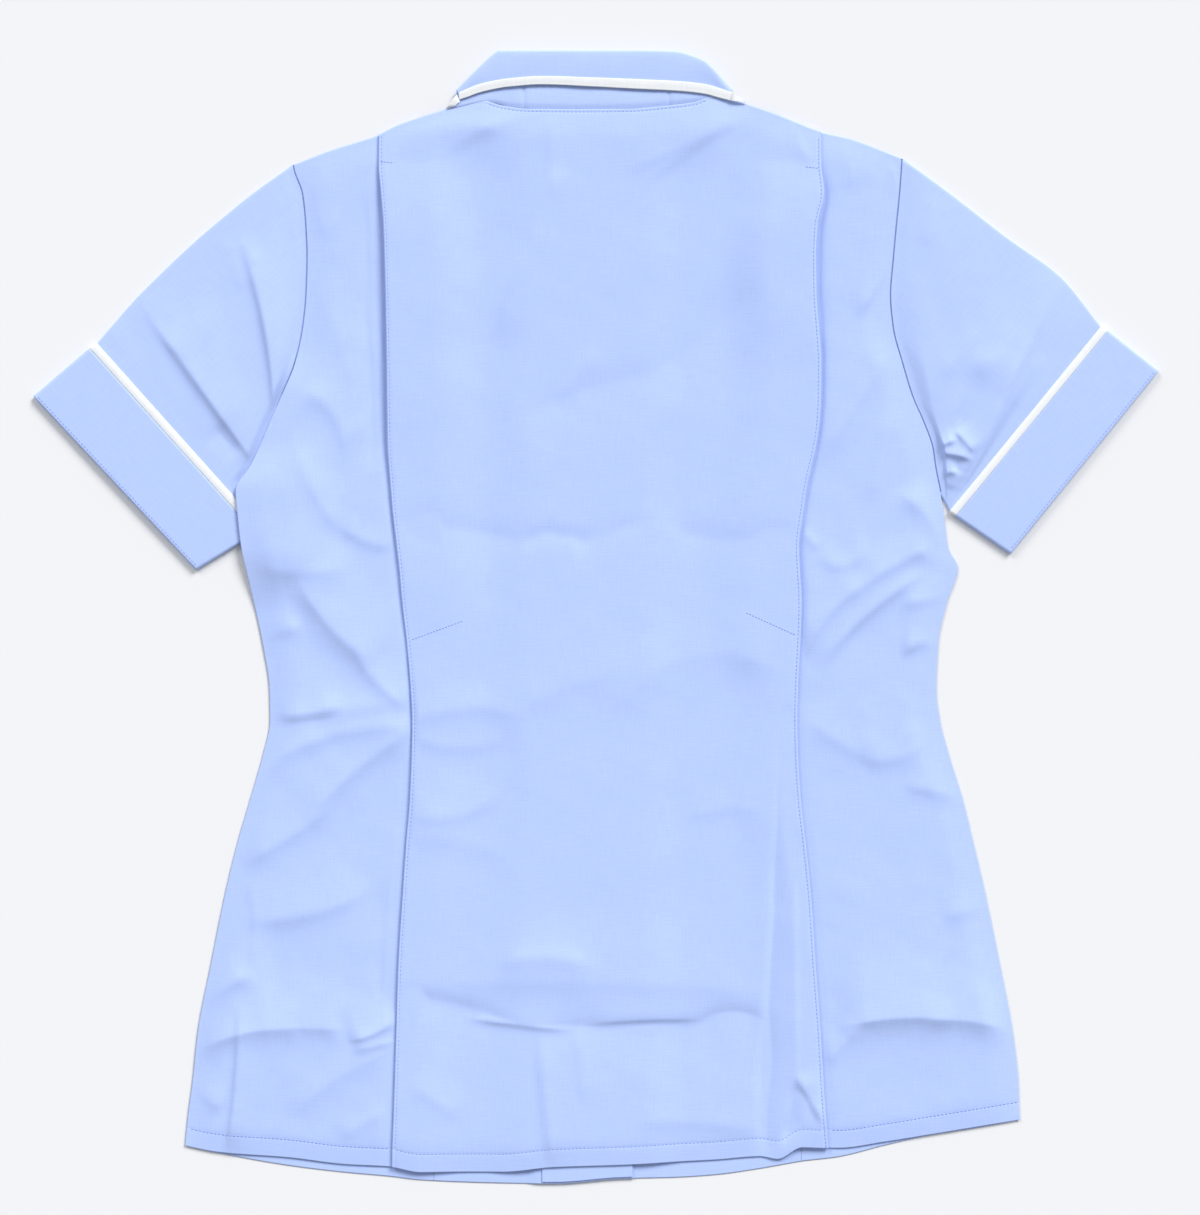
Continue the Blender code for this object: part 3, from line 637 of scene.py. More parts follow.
def side_height(x, y):
    """Height of a side panel: slack and folded where it shows, dipped at the pleat, plain under it."""
    past = past_fold(x, y)
    form = fold_form(SIDE_FOLDS, x, y) + 0.22 * ripple(x, y, 70.0, 11) + 0.06 * ripple(x, y, 24.0, 12)
    form = np.maximum(form, 0.0) * rise(past, -1.0, 5.0) + np.minimum(form, 0.0) * rise(past, -4.0, 1.0)
    dip = pleat_value("dip", x, y) * np.exp(-(np.maximum(past - 1.5, 0.0) / pleat_value("wide", x, y)) ** 1.4)
    # A shallow groove runs beside the left seam below the waist
    imprint = 0.4 * np.exp(-((past - 5.6) / 1.6) ** 2) * rise(y, -60.0, -110.0) * (x < 0.0)
    form = form - (dip + imprint) * rise(past, -4.0, 1.0)
    return back_rest(x, y) + inside_edge(x, y) * np.maximum(PUFF + form, 0.0)


def back_top(x):
    return read(TOP, "x", "height", x) - CLOTH / 2


def back_hem(x):
    return read(HEM, "x", "back", x) + CLOTH / 2


def body_line(column, shift=0.0):
    """One edge of the body as a function of height, moved sideways."""
    return lambda y: body_at(column, y) + shift


# Rows also crowd along the sharp packing crease above the hem, and at the shoulder and neck seams,
# where the cloth turns under
crease_rows = np.linspace(0.1, 0.148, 40)
top_offsets = np.array([16.0, 12.0, 9.0, 6.5, 4.5, 3.2, 2.5, 2.0, 1.6, 1.2, 0.7, 0.0])
back_parts = np.concatenate((
    hem_offsets / PANEL_LENGTH,
    np.linspace(0.026, 0.096, 20),
    crease_rows,
    np.linspace(0.152, 0.974, 206),
    1.0 - top_offsets / PANEL_LENGTH,
))


def back_edges(x, y):
    """Low form of the back's hem and of the turned edge along its neck."""
    from_top = back_top(x) - y
    neck = rise(np.abs(x - 2.0), 84.0, 74.0)
    groove = -0.2 * np.exp(-((from_top - STITCH_INSET) / 0.7) ** 2) * neck
    return hem_relief(y - back_hem(x)) + groove - 0.2 * rise(from_top, 1.0, 0.0) * (1.0 - neck)


# Stations across a side panel, from the side seam in
SIDE_STATIONS = np.concatenate((
    (0.0, 0.004, 0.01, 0.02),
    np.linspace(0.03, 0.86, 96),
    np.linspace(0.872, 1.0, 8),
))


def back_side(side):
    """One side panel of the back, with the stitches of its hem."""
    name = "back_side_" + side
    inward = 1.0 if side == "left" else -1.0
    outer = body_line("side_" + side, inward * CLOTH / 2)

    def inner(y):
        return body_at("fold_" + side, y) + inward * (CLOTH / 2 + return_width(y) - HIDDEN_SET_BACK)
    if side == "left":
        x, y = body_grid(outer, inner, back_top, back_hem, back_parts, SIDE_STATIONS)
    else:
        x, y = body_grid(inner, outer, back_top, back_hem, back_parts, 1.0 - SIDE_STATIONS[::-1])
    height = side_height(x, y) + back_edges(x, y) * rise(past_fold(x, y), -2.0, 2.0)
    height = height - SEAM_DROP * np.exp(-inward * (x - outer(y)) / 3.0)
    piece = cut_piece(name, np.stack((x, y, height), axis=-1), POLY_COTTON)
    across = np.linspace(body_at("side_" + side, -360.0), body_at("fold_" + side, -366.0), 80)
    seam_y = back_hem(across) + HEM_TURN
    seam_z = side_height(across, seam_y) + CLOTH / 2 + BACK_THREAD_LIFT
    stitches = sew(name + "_hem_stitch", np.stack((across, seam_y, seam_z), axis=-1)[2:-1])
    wear(piece)


back_side("left")
back_side("right")


# Back centre panel
# The middle of the back, whose sides fold under as two open pleats held by bar tacks near the
# shoulder and by stitches at the waist, and run on as seams. Its fold edges are topstitched.
CENTRE_FOLDS = (
    (-33, 350, -30, 292, 1, 0.8, 12, 3.6),
    (-29, 306, -45, 254, -2, 1.2, 13, 3.6),
    (-41, 264, -66, 194, -3, 1.3, 13, 3.6),
    (-2, 184, -24, 150, 0, 0.7, 9, 3.6),
    (-45, 140, 40, 166, 4, -1.2, 16, 30),
    (30, 164, 110, 228, -6, -1.4, 16, 34),
    (-134, 66, -44, 51, 1, -1.1, 9, 20),
    (-50, 52, -22, 57, 3, -1, 5, 7),
    (-24, 57, -6, 50, 2, -1, 5, 7),
    (-12, 50, 42, 68, 1, -1.1, 10, 20),
    (38, 68, 50, 138, 3, -0.9, 8, 16),
    (50, 62, 134, 62, -9, -1.1, 10, 22),
    (37, 302, 99, 344, 1, 0.9, 14, 2.8),
    (22, 307, 86, 337, 0, 0.7, 12, 2.8),
    (136, 341, 147, 313, -1, 0.6, 2.2, 5),
    (-138, 330, -62, 336, 5, 1.1, 14, 7),
    (-102, 322, -44, 346, 3, 1, 12, 4),
    (-142, -258, -52, -281, 2, -1.7, 5, 32),
    (-84, -277, -22, -284, 0, 1.5, 9, 2.2),
    (-60, -281, 2, -282, 0, -1.1, 6, 28),
    (-8, -281.5, 76, -279, 1.5, -1.7, 5, 34),
    (-4, -280, 70, -277.5, 1.5, 1.5, 9, 2),
    (70, -280, 114, -277, 6, -1.5, 6, 30),
    (-110, -252, 100, -256, 3, 1.4, 32, 14),
    (-64, -238, -4, -240, 5, 1.7, 10, 13),
    (-39, -288, -28, -392, -1, 1.7, 16, 2.2),
    (-12, -284, -9, -332, 0, 0.9, 9, 2.4),
    (-126, -71, -55, -66, 6, 1.1, 22, 7),
    (-58, -66, 22, -36, 4, 0.9, 26, 11),
    (-126, -82, -67, -85, -6, 0.7, 9, 4),
    (19, -56, 126, -36, 20, 1, 28, 13),
    (-126, -137, -66, -122, -7, 0.9, 14, 5),
    (-128, -150, -60, -165, 3, 0.6, 16, 8),
    (-126, -322, -94, -344, 0, 1, 12, 7),
    (30, -348, 108, -352, 2, 1, 16, 6),
    (60, -138, 112, -132, 3, 0.6, 14, 6),
    (131, -70, 124, -196, -1, -2.2, 6, 1.6),
    (125.5, -150, 114.6, -330, 0, -2.4, 8, 1.6),
    (115.2, -284, 113.4, -404, 0, -2.4, 8, 1.6),
    (135.8, -150, 138.4, -318, 0, 0.9, 1.4, 6),
    (138, -322, 129, -362, 0, -2.2, 12, 1.6),
    (139, -318, 156, -347, 0, 1.8, 9, 1.4),
)

# Distances in from a fold edge of the lines of points on the face, crowded where it bends
FACE_BEND = (1.0, 1.5, 1.9, 2.3, 2.9, 3.8, 5.0, 6.4, 8.0, 9.8, *np.arange(11.6, 44.0, 1.3))


def centre_face(x, y, edge):
    """Height of the centre panel's face above the lower back layer, and its stitched fold edge."""
    pitch = PLEAT_PITCH + pleat_value("open", x, y)
    stacked = rise(edge, return_width(y) + 40.0, return_width(y) + 3.0)
    inside = inside_edge(x, y)
    slack = 0.18 * ripple(x, y, 80.0, 21) + 0.05 * ripple(x, y, 26.0, 22)
    folds = inside * (fold_form(CENTRE_FOLDS, x, y) + slack) * rise(edge, 0.0, 5.0)
    groove = -0.22 * np.exp(-((edge - STITCH_INSET) / 0.8) ** 2) - 0.12 * np.exp(-edge / 6.0)
    over_fold = rise(edge, return_width(y) + 20.0, return_width(y) + 1.5)
    lowest = (pitch + CLOTH + 0.15) * over_fold - PUFF * inside * (1.0 - over_fold)
    lift = np.maximum(2.0 * pitch * stacked + folds, lowest)
    return plain_back(x, y) + lift + groove + back_edges(x, y)


def pleat_section(side):
    """Places across one folded edge, from the hidden seam round the fold to the panel's face."""
    section = [("return", part) for part in (1.0, 0.75, 0.5, 0.25, 0.1)]
    section += [("bend", turn) for turn in (20.0, 50.0, 80.0, 110.0, 140.0, 165.0)]
    section += [("face", inside) for inside in FACE_BEND]
    section = [(side, kind, place) for kind, place in section]
    return section if side == "left" else section[::-1]


def make_back_centre():
    """Back centre panel: a face between two fold edges, with the cloth that is folded under them."""
    left = body_line("fold_left", CLOTH / 2)
    right = body_line("fold_right", -CLOTH / 2)
    middle = [("middle", "face", part) for part in np.linspace(0.0, 1.0, 76)[1:-1]]
    plan = pleat_section("left") + middle + pleat_section("right")
    reach = FACE_BEND[-1]
    lines = []
    for side, kind, place in plan:
        y = BODY_FOOT + BODY_LENGTH * back_parts
        for _ in range(SETTLING_TURNS):
            inward = place * return_width(y) if kind == "return" else place
            if kind == "bend":
                bend = (PLEAT_PITCH + read(PLEATS, "height", "open_" + side, y)) / 2
                inward = bend - bend * math.sin(math.radians(place))
            if side == "middle":
                x = left(y) + reach + (right(y) - left(y) - 2.0 * reach) * place
            elif side == "left":
                x = left(y) + inward
            else:
                x = right(y) - inward
            y = back_hem(x) + (back_top(x) - back_hem(x)) * back_parts
        nearest = np.minimum(x - left(y), right(y) - x)
        opened = pleat_value("open", x, y) * rise(nearest, return_width(y), 2.0)
        under = plain_back(x, y) + PLEAT_PITCH + opened
        face = centre_face(x, y, nearest)
        if kind == "return":
            height = under
        elif kind == "bend":
            height = under + (face - under) * (1.0 - math.cos(math.radians(place))) / 2
        else:
            height = face
        lines.append(np.stack((x, y, height), axis=-1))
    return cut_piece("back_centre", np.stack(lines, axis=1), POLY_COTTON)


def face_path(x, y):
    """Points on the face of the centre panel, where a stitch line runs."""
    edge = np.minimum(x - body_at("fold_left", y), body_at("fold_right", y) - x)
    return np.stack((x, y, centre_face(x, y, edge) + CLOTH / 2 + BACK_THREAD_LIFT), axis=-1)


for fold_side, inward in (("left", 1.0), ("right", -1.0)):
    heights = np.linspace(-366.0, 332.0, 400)
    edge_x = body_at("fold_" + fold_side, heights) + inward * STITCH_INSET
    sew("pleat_stitch_" + fold_side, face_path(edge_x, heights))
hem_x = np.linspace(-138.0, 156.0, 200)
sew("centre_hem_stitch", face_path(hem_x, back_hem(hem_x) + HEM_TURN))
neck_x = np.linspace(-74.0, 78.0, 120)
sew("neck_stitch", face_path(neck_x, back_top(neck_x) - STITCH_INSET))

# Short rows: the bar tacks at the pleats' tops, and the slanted rows that end them at the waist
ROW_COLUMNS = ("name", "x1", "y1", "x2", "y2")
SHORT_ROWS = (
    ("bar_tack_left", -148.5, 313.6, -138.0, 312.4),
    ("bar_tack_right", 144.0, 309.9, 154.5, 308.7),
    ("waist_stitch_left", -127.0, -15.6, -90.4, -2.2),
    ("waist_stitch_right", 103.0, 3.2, 138.8, -13.0),
)
SHORT_STITCH = {"pitch": 2.2, "stitch": 1.9, "thick": 0.4}
for row in SHORT_ROWS:
    short = dict(zip(ROW_COLUMNS, row))
    row_x = np.linspace(short["x1"], short["x2"], 30)
    row_y = np.linspace(short["y1"], short["y2"], 30)
    sew(short["name"], face_path(row_x, row_y), **SHORT_STITCH)

centre = make_back_centre()
wear(
    centre,
)


# Sleeves
# Short set-in sleeves, each cut in one piece and sewn to a tube, lying flat beside the body.
# They are the same poly-cotton, creased in long folds that run from the head to the underarm.

# The two layers lie SLEEVE_PITCH apart or more, and closer at the armhole seam. The lower one starts
# under the body's edge and the upper one just outside it
SLEEVE_PITCH = 1.4
SEAM_PITCH = 0.85
SLEEVE_RUN = 180.0
UPPER_START = 2.6
ARMHOLE_GAP = -1.8
CUFF_DEPTH = 50.0
PIPING_WIDTH = 6.0
CUFF_RINGS = 20
PIPING_RINGS = 4
CUFF_THREAD_LIFT = 0.04

# Beside a cuff, whose own layer lies under the sleeve, the sleeve has climbed this share of a layer
UNDER_CUFF_LIFT = 0.7
SLEEVE_COLUMNS = ("shoulder", "armpit", "free_top", "free_under", "piped_top", "piped_under")
SLEEVES = {
    "left": ((-208.4, 312.1), (-218, 118), (-387, 151.5), (-276.2, 33.6), (-348.4, 184.6), (-235, 58.5)),
    "right": ((211, 316.4), (238.4, 86), (387, 169), (286.2, 44.6), (352, 196.8), (248.5, 70.4)),
}

# How far a sleeve's top edge bows out from a straight line, by place along the sleeve
SLEEVE_TOP_COLUMNS = ("along", "left", "right")
SLEEVE_TOP_ROWS = ((0.0, 0.0, 0.0), (0.25, 4.6, 3.0), (0.5, 6.2, 4.8), (0.75, 5.0, 8.2), (1.0, 0.0, 0.0))
SLEEVE_TOP = columns(SLEEVE_TOP_COLUMNS, SLEEVE_TOP_ROWS)

# Points across a sleeve crowd toward the underarm, and rings along it crowd at the armhole seam
SLEEVE_PARTS = np.concatenate((np.linspace(0.0, 0.7, 66, endpoint=False), np.linspace(0.7, 1.0, 54)))
NEAR_SEAM = (0.0, 0.3, 0.8, 1.5, 2.4, 3.6, 5.2, 7.0, 9.0)
SLEEVE_FOLDS = {
    "left": (
        (-317, 225, -286, 179, -2, 2, 20, 3),
        (-297, 193, -233, 104, 0, 2.9, 22, 3),
        (-243, 256, -221, 126, 6, 3.1, 14, 2.6),
        (-242, 259, -234, 243, 0, 0.8, 4, 5),
        (-219, 305, -216, 279, -2, 0.9, 2.6, 7),
        (-254, 262, -244, 226, 0, 0.8, 6, 8),
        (-262, 130, -246, 112, 0, -1.2, 10, 8),
    ),
    "right": (
        (320, 240, 284, 160, 2, 3.2, 7, 16),
        (290, 172, 243, 87, 4, 3.2, 8, 16),
        (290, 196, 262, 160, 0, 0.8, 10, 12),
        (276, 182, 240, 132, 0, 1.4, 9, 10),
        (268, 172, 249, 128, -3, -1.6, 5, 7),
        (248, 128, 260, 114, 0, 2.4, 6, 2.4),
        (230, 113.5, 257, 109, 1, 4.4, 7, 1.6),
        (231, 115.5, 247, 122, 0, 3.2, 5, 1.6),
        (232, 97.5, 248, 100.5, 0, 4.2, 5, 1.6),
        (247, 101, 243, 89, 0, 2.8, 4, 1.8),
        (236, 288, 226, 258, 0, 1, 9, 8),
        (218, 238, 213, 206, 0, 0.8, 6, 6),
        (216, 300, 222, 288, 0, 0.8, 3, 4),
        (266, 200, 240, 166, 0, 0.8, 9, 8),
        (312, 176, 300, 140, 0, 0.9, 8, 8),
    ),
}


def normals(points):
    """Direction out of a tube at each of its points."""
    across = np.roll(points, -1, axis=1) - np.roll(points, 1, axis=1)
    up = np.gradient(points, axis=0)
    out = np.cross(across, up)
    return out / np.linalg.norm(out, axis=-1, keepdims=True)


def fold_round(over, under, out, high, low):
    """Points round a folded edge, from the end of the upper layer to the end of the lower one."""
    points = []
    radius = (high - low) / 2
    for turn in (60.0, 30.0, 0.0, -30.0, -60.0):
        angle = math.radians(turn)
        share = (90.0 - turn) / 180.0
        place = over + (under - over) * share + out * radius * math.cos(angle)
        points.append((*place, (high + low) / 2 + radius * math.sin(angle)))
    return points


def sleeve_points(side):
    """Rings of a flattened sleeve from the armhole to the free edge under the cuff."""
    corner = {name: np.array(place, dtype=float) for name, place in zip(SLEEVE_COLUMNS, SLEEVES[side])}
    shoulder = corner["shoulder"]
    armpit = corner["armpit"]
    outward = -1.0 if side == "left" else 1.0
    parts = SLEEVE_PARTS
    armhole_y = shoulder[1] + (armpit[1] - shoulder[1]) * parts
    tucked = armpit[0] - body_at("side_" + side, armpit[1])
    lap = tucked * rise(armhole_y, 158.0, armpit[1]) if side == "left" else 0.0
    armhole_x = body_at("side_" + side, armhole_y) + outward * ARMHOLE_GAP + lap
    armhole = np.stack((armhole_x, armhole_y), axis=-1)
    piped = corner["piped_top"] + (corner["piped_under"] - corner["piped_top"]) * parts[:, None]
    free = corner["free_top"] + (corner["free_under"] - corner["free_top"]) * parts[:, None]
    piping_part = PIPING_WIDTH / CUFF_DEPTH
    lines = []
    end = piped + (piped - free) * piping_part
    upper_start = armhole + np.array((outward * UPPER_START, 0.0))
    reach = np.linalg.norm(end - armhole, axis=1, keepdims=True)
    places = [(near, 0.0) for near in NEAR_SEAM]
    places += [(NEAR_SEAM[-1], part) for part in np.linspace(0.012, 0.965, 82)]
    for near, part in places:
        share = near / reach + (1.0 - near / reach) * part
        under = armhole + (end - armhole) * share
        line = upper_start + (end - upper_start) * share
        along = near / SLEEVE_RUN + (1.0 - near / SLEEVE_RUN) * part
        bulge = read(SLEEVE_TOP, "along", side, along)
        toward_top = unit(armhole[0] - armhole[-1])
        sideways = np.array((outward * 0.66, 0.75))
        bowed = (0.5 * toward_top + sideways) / 1.3 * bulge * ((1.0 - parts) ** 3)[:, None]
        lines.append((line + bowed, under + bowed, UNDER_CUFF_LIFT * rise(along, 0.86, 0.94), along))
    piping_places = np.linspace(-piping_part, 0.0, PIPING_RINGS)
    cuff_places = np.linspace(0.04, 0.94, CUFF_RINGS - 2)
    for part in (*piping_places, *cuff_places, 0.97, 1.0):
        line = piped + (free - piped) * part
        lines.append((line, line, 1.0, 1.0))
    rings = []
    for line, under, raised, along in lines:
        lower = FLOOR_MIDDLE + LAYER * raised
        x = line[:, 0]
        y = line[:, 1]
        open_part = np.sin(math.pi * parts) ** 0.8
        bellied = rise(along, 0.0, 0.2) * (1.0 - 0.75 * raised)
        slack = 0.25 * ripple(x, y, 60.0, 31) + 0.08 * ripple(x, y, 22.0, 32)
        folds = (fold_form(SLEEVE_FOLDS[side], x, y) + slack) * (1.0 - 0.55 * raised)
        clear = rise(outward * (x - body_at("side_" + side, y)), 0.0, 7.0)
        if side == "right":
            clear = 0.35 + 0.65 * clear
        flat_upper = lower + SEAM_PITCH + (SLEEVE_PITCH - SEAM_PITCH) * rise(along, 0.0, 0.06)
        upper = flat_upper + open_part * bellied * clear * np.maximum(2.0 + folds, 0.2)
        seam = np.maximum(side_height(x, y) - SEAM_DROP, flat_upper)
        at_seam = rise(along, 0.06, 0.0) * (1.0 if side == "right" else rise(y, 160.0, 178.0))
        upper = upper + (seam - upper) * at_seam
        upper_line = line.copy()
        lower_line = under.copy()
        outs = {}
        for tip, beside in ((0, 1), (-1, -2)):
            step = line[tip] - line[beside]
            outs[tip] = unit(step)
            setback = min((upper[tip] - lower) / 2, 0.45 * np.linalg.norm(step))
            upper_line[tip] -= outs[tip] * setback
            lower_line[tip] -= outs[tip] * setback
        top_turn, under_turn = (
            fold_round(upper_line[tip], lower_line[tip], outs[tip], upper[tip], lower) for tip in (0, -1)
        )
        ring = [(*point, high) for point, high in zip(upper_line, upper)]
        ring.extend(under_turn)
        ring.extend((*point, lower) for point in lower_line[::-1])
        ring.extend(reversed(top_turn))
        rings.append(ring)
    return np.array(rings)


def turned_grain(points, side):
    """Grain of a sleeve: the warp runs out along the sleeve."""
    corner = dict(zip(SLEEVE_COLUMNS, SLEEVES[side]))
    run = unit(np.array(corner["free_top"]) - np.array(corner["shoulder"]))
    across = np.array((-run[1], run[0]))
    return np.stack((points[..., :2] @ across, points[..., :2] @ run), axis=-1)


sleeve_rings = {}
for sleeve_side in ("left", "right"):
    rings = sleeve_points(sleeve_side)
    sleeve_rings[sleeve_side] = rings
    sleeve = cut_piece(
        "sleeve_" + sleeve_side, rings, POLY_COTTON, ring=True, grain=turned_grain(rings, sleeve_side)
    )
    wear(sleeve)


# Cuff piping
# A strip of white cotton, folded double and caught in the seam between each sleeve and its cuff.
# It shows 6 mm wide, all the way round the sleeve.

# Bleached cotton, plain woven: a cool white, as dull as the cloth beside it
PIPING_COTTON = woven("woven cotton piping, white", "#E6E8EA", "#ECEEEF", "#F2F3F4", 0.1, 0.8)


def between(points, start, end, count):
    """Rings of a tube from start to end, measured in rings."""
    rings = []
    for place in np.linspace(start, end, count):
        low = int(min(math.floor(place), len(points) - 2))
        part = place - low
        rings.append(points[low] * (1.0 - part) + points[low + 1] * part)
    return np.array(rings)


# Ring and place in it of a point that lies well inside the upper layer
UPPER_LAYER_POINT = (12, 40)


def outside_of(side, lift):
    """The sleeve's rings, moved out by the layer that lies on them."""
    points = sleeve_rings[side]
    out = normals(points)
    if out[UPPER_LAYER_POINT][2] < 0.0:
        out = -out
    return points + out * lift


PIPING_SINK = 0.2
PIPING_CROWN = 0.35
for sleeve_side in ("left", "right"):
    rings = outside_of(sleeve_side, LAYER - PIPING_SINK)
    piping_start = len(rings) - CUFF_RINGS - PIPING_RINGS
    strip = between(rings, piping_start, piping_start + PIPING_RINGS - 1.0, 9)
    crown = PIPING_CROWN * np.sin(np.linspace(0.0, math.pi, len(strip)))
    out = (outside_of(sleeve_side, LAYER)[piping_start] - rings[piping_start]) / PIPING_SINK
    strip = strip + out * crown[:, None, None]
    piping = cut_piece(
        "cuff_piping_" + sleeve_side, strip, PIPING_COTTON, ring=True, grain=turned_grain(strip, sleeve_side)
    )
    wear(piping)


# Cuffs
# Turned back bands of the same cloth, 50 mm deep, sewn over the end of each sleeve and
# topstitched along their free edge.
for sleeve_side in ("left", "right"):
    rings = outside_of(sleeve_side, LAYER)
    cuff_start = len(rings) - CUFF_RINGS - 1
    band = between(rings, cuff_start + 0.05, len(rings) - 1.0, 30)
    cuff = cut_piece(
        "cuff_" + sleeve_side, band, POLY_COTTON, ring=True, grain=turned_grain(band, sleeve_side)
    )
    edge_line = band[-3, 1:len(SLEEVE_PARTS) - 1] + (0.0, 0.0, CLOTH / 2 + CUFF_THREAD_LIFT)
    edge_stitch = sew("cuff_stitch_" + sleeve_side, edge_line)
    wear(cuff)


# Collar
# A stand sewn to the back neck, rolled over at the top, with a fall that lies back on it. Its
# front ends run on along the neckline under the tunic. It is double cloth, pressed flat.
COLLAR_ROLL = 0.7
ROLL_AT_ENDS = 0.75
NECK_TUCK = 1.6
NECK_DROP = 0.75
STAND_HEIGHT = 1.6
STAND_CREASES = (-49.7, 50.4)
STAND_PARTS = 10
COLLAR_COLUMNS = ("along", "neck_x", "neck_y", "fold_x", "fold_y", "edge_x", "edge_y")
COLLAR_ROWS = (
    (0, -97, 352, -96, 363, -94.6, 360.2),
    (0.1, -74, 355.5, -82, 377.2, -81, 365.8),
    (0.19, -57.5, 352.2, -69.5, 388.6, -66, 369.2),
    (0.21, -54.5, 351.8, -66.5, 390.3, -62, 369.8),
    (0.35, -34, 350.8, -38, 390.4, -36, 371.6),
    (0.5, -2, 350.7, -4, 390.4, -2, 370.6),
    (0.65, 30, 351.4, 28, 390.4, 30, 369.4),
    (0.8, 54, 353.6, 52, 390, 55, 368.2),
    (0.9, 69, 355.9, 72, 384.6, 74, 366.2),
    (1, 81, 359.6, 94, 362.8, 93.6, 360.4),
)
COLLAR = columns(COLLAR_COLUMNS, COLLAR_ROWS)


def collar_section(along):
    """One section through the collar, from the neck seam over the roll to the fall's edge."""
    at = {name: float(read(COLLAR, "along", name, along)) for name in COLLAR_COLUMNS[1:]}
    neck = np.array((at["neck_x"], at["neck_y"] - NECK_TUCK))
    fold = np.array((at["fold_x"], at["fold_y"] - CLOTH / 2))
    edge = np.array((at["edge_x"], at["edge_y"]))
    up = unit(fold - neck)
    roll = COLLAR_ROLL * rise(np.linalg.norm(edge - fold), 0.0, 14.0) + ROLL_AT_ENDS
    stand_low = STAND_HEIGHT + rise(abs(along - 0.5), 0.3, 0.5)
    section = []
    for part in (0.0, 0.03, 0.07, 0.14, 0.24, 0.36, 0.5, 0.64, 0.78, 0.9):
        place = neck + (fold - up * roll - neck) * part
        height = NECK_MIDDLE + (stand_low - NECK_MIDDLE) * rise(part, 0.1, 0.9)
        height -= NECK_DROP * rise(part, 0.07, 0.02)
        section.append((*place, height))
    for turn in (-90.0, -60.0, -30.0, 0.0, 30.0, 60.0, 90.0):
        angle = math.radians(turn)
        place = fold - up * roll + up * roll * math.cos(angle)
        section.append((*place, stand_low + roll + roll * math.sin(angle)))
    fall_top = fold - up * roll
    fall_height = stand_low + 2.0 * roll
    low = NECK_MIDDLE + 1.2 * LAYER
    for part in (0.15, 0.3, 0.45, 0.6, 0.75, 0.88, 0.96, 1.0):
        place = fall_top + (edge - fall_top) * part
        belly = 0.25 * math.sin(math.pi * part)
        section.append((*place, fall_height + (low - fall_height) * rise(part, 0.0, 1.0) + belly))
    return section, edge, low


collar_rows = []
piping_rows = []
for along in np.linspace(0.0, 1.0, 200):
    section, fall_edge, low = collar_section(along)
    collar_rows.append(section)
    down = np.array((0.12 * (0.5 - along), -1.0))
    width = PIPING_WIDTH - 1.0 + 1.0 * rise(along, 0.3, 0.7) - 0.8 * rise(abs(along - 0.5), 0.44, 0.5)
    start = fall_edge - down * 0.6
    strip = []
    for part in (0.0, 0.1, 0.3, 0.5, 0.7, 0.9, 1.0):
        strip.append((*(start + down * (width + 0.6) * part), low + 0.5 - 0.4 * rise(part, 0.3, 1.0)))
    piping_rows.append(strip)
collar_points = np.array(collar_rows)
collar_x = collar_points[..., 0]
collar_points[..., 2] += 0.10 * ripple(collar_x, collar_points[..., 1], 34.0, 41)
for crease_x in STAND_CREASES:
    collar_points[:, :STAND_PARTS, 2] -= 0.5 * np.exp(-((collar_x[:, :STAND_PARTS] - crease_x) / 1.5) ** 2)
collar = cut_piece("collar", collar_points, POLY_COTTON)
wear(collar)
for end_side, mirror in (("left", -1.0), ("right", 1.0)):
    end_rows = []
    for end_part in crowd_edges(34):
        end_y = NECK_POINT + 36.0 + (NECK_TOP - NECK_POINT - 49.0) * end_part
        outer_x = neck_line(end_y) - SEAM_GAP
        end_width = min(34.0, outer_x - 1.0)
        end_rows.append([
            (mirror * (outer_x - end_width * part), end_y, FLOOR_MIDDLE) for part in crowd_edges(6)
        ])
    collar_end = cut_piece("collar_end_" + end_side, np.array(end_rows), POLY_COTTON)
    wear(collar_end)


# Collar piping
# The same white piping along the free edge of the collar's fall.
# At both ends it turns down to the front, where a bit of it shows along the shoulder.
collar_piping = cut_piece("collar_piping", np.array(piping_rows), PIPING_COTTON)
TURN_COLUMNS = ("upper_x", "upper_y", "lower_x", "lower_y", "height")
TURN_ROWS = {
    "left": (
        (-95.9, 359.7, -93.6, 354.8, 4.6),
        (-98.6, 356.4, -95.2, 353.6, 4.4),
        (-101, 353.2, -96.2, 352.6, 4.1),
        (-103.2, 350, -97.2, 351.4, 3.7),
    ),
    "right": (
        (93.2, 360.3, 92.6, 355.3, 5.1),
        (97, 358.7, 96.4, 354.9, 4.8),
        (100.2, 356.7, 99.8, 354.5, 4.3),
        (103.2, 354.8, 103, 354, 3.7),
    ),
}
for turn_side, turn_table in TURN_ROWS.items():
    turn_rows = []
    for row in turn_table:
        turn = dict(zip(TURN_COLUMNS, row))
        upper = np.array((turn["upper_x"], turn["upper_y"], turn["height"]))
        lower = np.array((turn["lower_x"], turn["lower_y"], turn["height"]))
        turn_rows.append([upper + (lower - upper) * part for part in (0.0, 0.06, 0.2, 0.5, 0.8, 0.94, 1.0)])
    piping_turn = cut_piece("collar_piping_turn_" + turn_side, np.array(turn_rows), PIPING_COTTON)
    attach(piping_turn, "root")
wear(collar_piping)


# Surface and light
# White paper lies under the tunic, far wider than the picture. Soft daylight falls low from
# beyond the collar, stronger from the right, and the sky's even light fills its shadows.
SURFACE_SIZE = 40.0

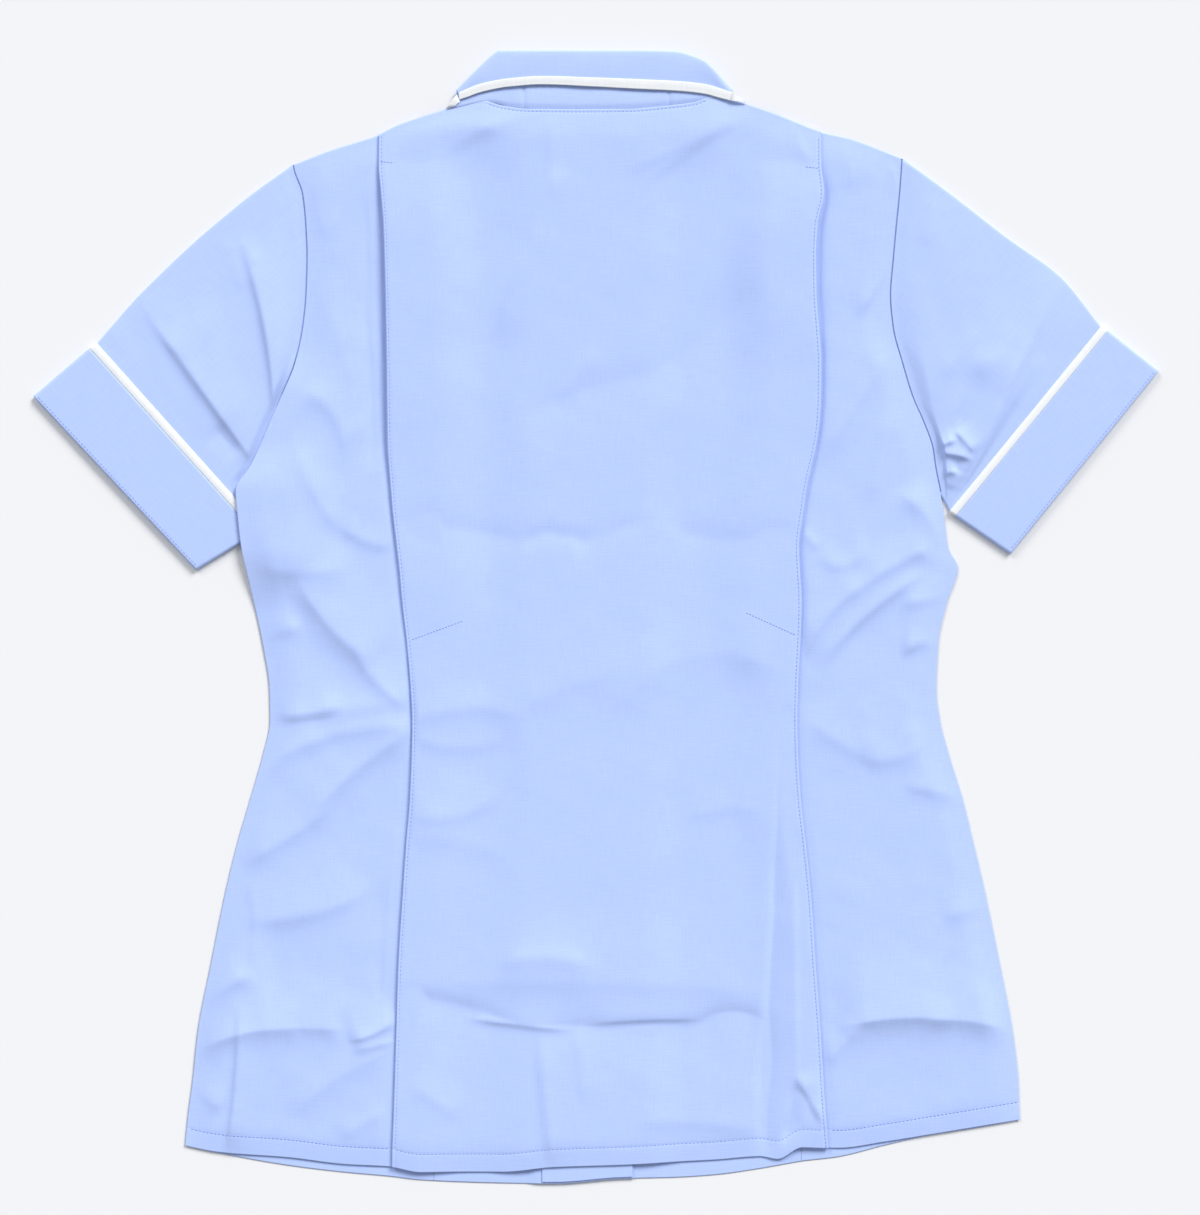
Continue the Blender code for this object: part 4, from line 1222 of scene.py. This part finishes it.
# Uncoated paper: an even white with next to no gloss, a shade under pure white
matt_white = bpy.data.materials.new("matt white paper")
matt_white.use_nodes = True
paper = matt_white.node_tree.nodes["Principled BSDF"].inputs
paper["Base Color"].default_value = linear("#E9E9EA")
paper["Roughness"].default_value = 0.9
paper["Specular IOR Level"].default_value = 0.1
bpy.ops.object.select_all(action="DESELECT")
bpy.ops.mesh.primitive_plane_add(size=SURFACE_SIZE, location=(0.0, 0.0, 0.0))
surface = bpy.context.object
surface.name = "surface"
surface.data.materials.append(matt_white)

LIGHT_COLUMNS = ("name", "turn", "height", "spread", "strength")
LIGHTS = (
    ("window right", 34.0, 33.0, 26.0, 3.10),
    ("window left", -36.0, 33.0, 26.0, 1.10),
)
for row in LIGHTS:
    lamp = dict(zip(LIGHT_COLUMNS, row))
    daylight = bpy.data.lights.new(lamp["name"], "SUN")
    daylight.angle = math.radians(lamp["spread"])
    daylight.energy = lamp["strength"]
    light = bpy.data.objects.new(lamp["name"], daylight)
    light.rotation_euler = (math.radians(lamp["height"] - 90.0), 0.0, math.radians(-lamp["turn"]))
    bpy.context.collection.objects.link(light)
sky = bpy.data.worlds.new("soft daylight")
sky.use_nodes = True
glow = sky.node_tree.nodes["Background"].inputs
glow["Color"].default_value = linear("#F3F8FF")
glow["Strength"].default_value = 0.415
bpy.context.scene.world = sky
bpy.context.scene.view_settings.view_transform = "Standard"


# Camera
# It looks straight down from 1.9 m over the middle of the picture. Its lens is worked out from
# the picture's height at one scale, 0.69 mm for a pixel.
PICTURE_HEIGHT = 1215
MM_PER_PIXEL = 0.69
CENTRE_X = 2.76
CENTRE_Y = 6.56
CAMERA_HEIGHT = 1.9
SENSOR = 36.0
view = bpy.data.cameras.new("camera")
view.sensor_fit = "AUTO"
view.sensor_width = SENSOR
view_height = PICTURE_HEIGHT * MM_PER_PIXEL * MM
view.lens = SENSOR * CAMERA_HEIGHT / view_height
camera = bpy.data.objects.new("camera", view)
camera.location = (CENTRE_X * MM, CENTRE_Y * MM, CAMERA_HEIGHT)
bpy.context.collection.objects.link(camera)
bpy.context.scene.camera = camera
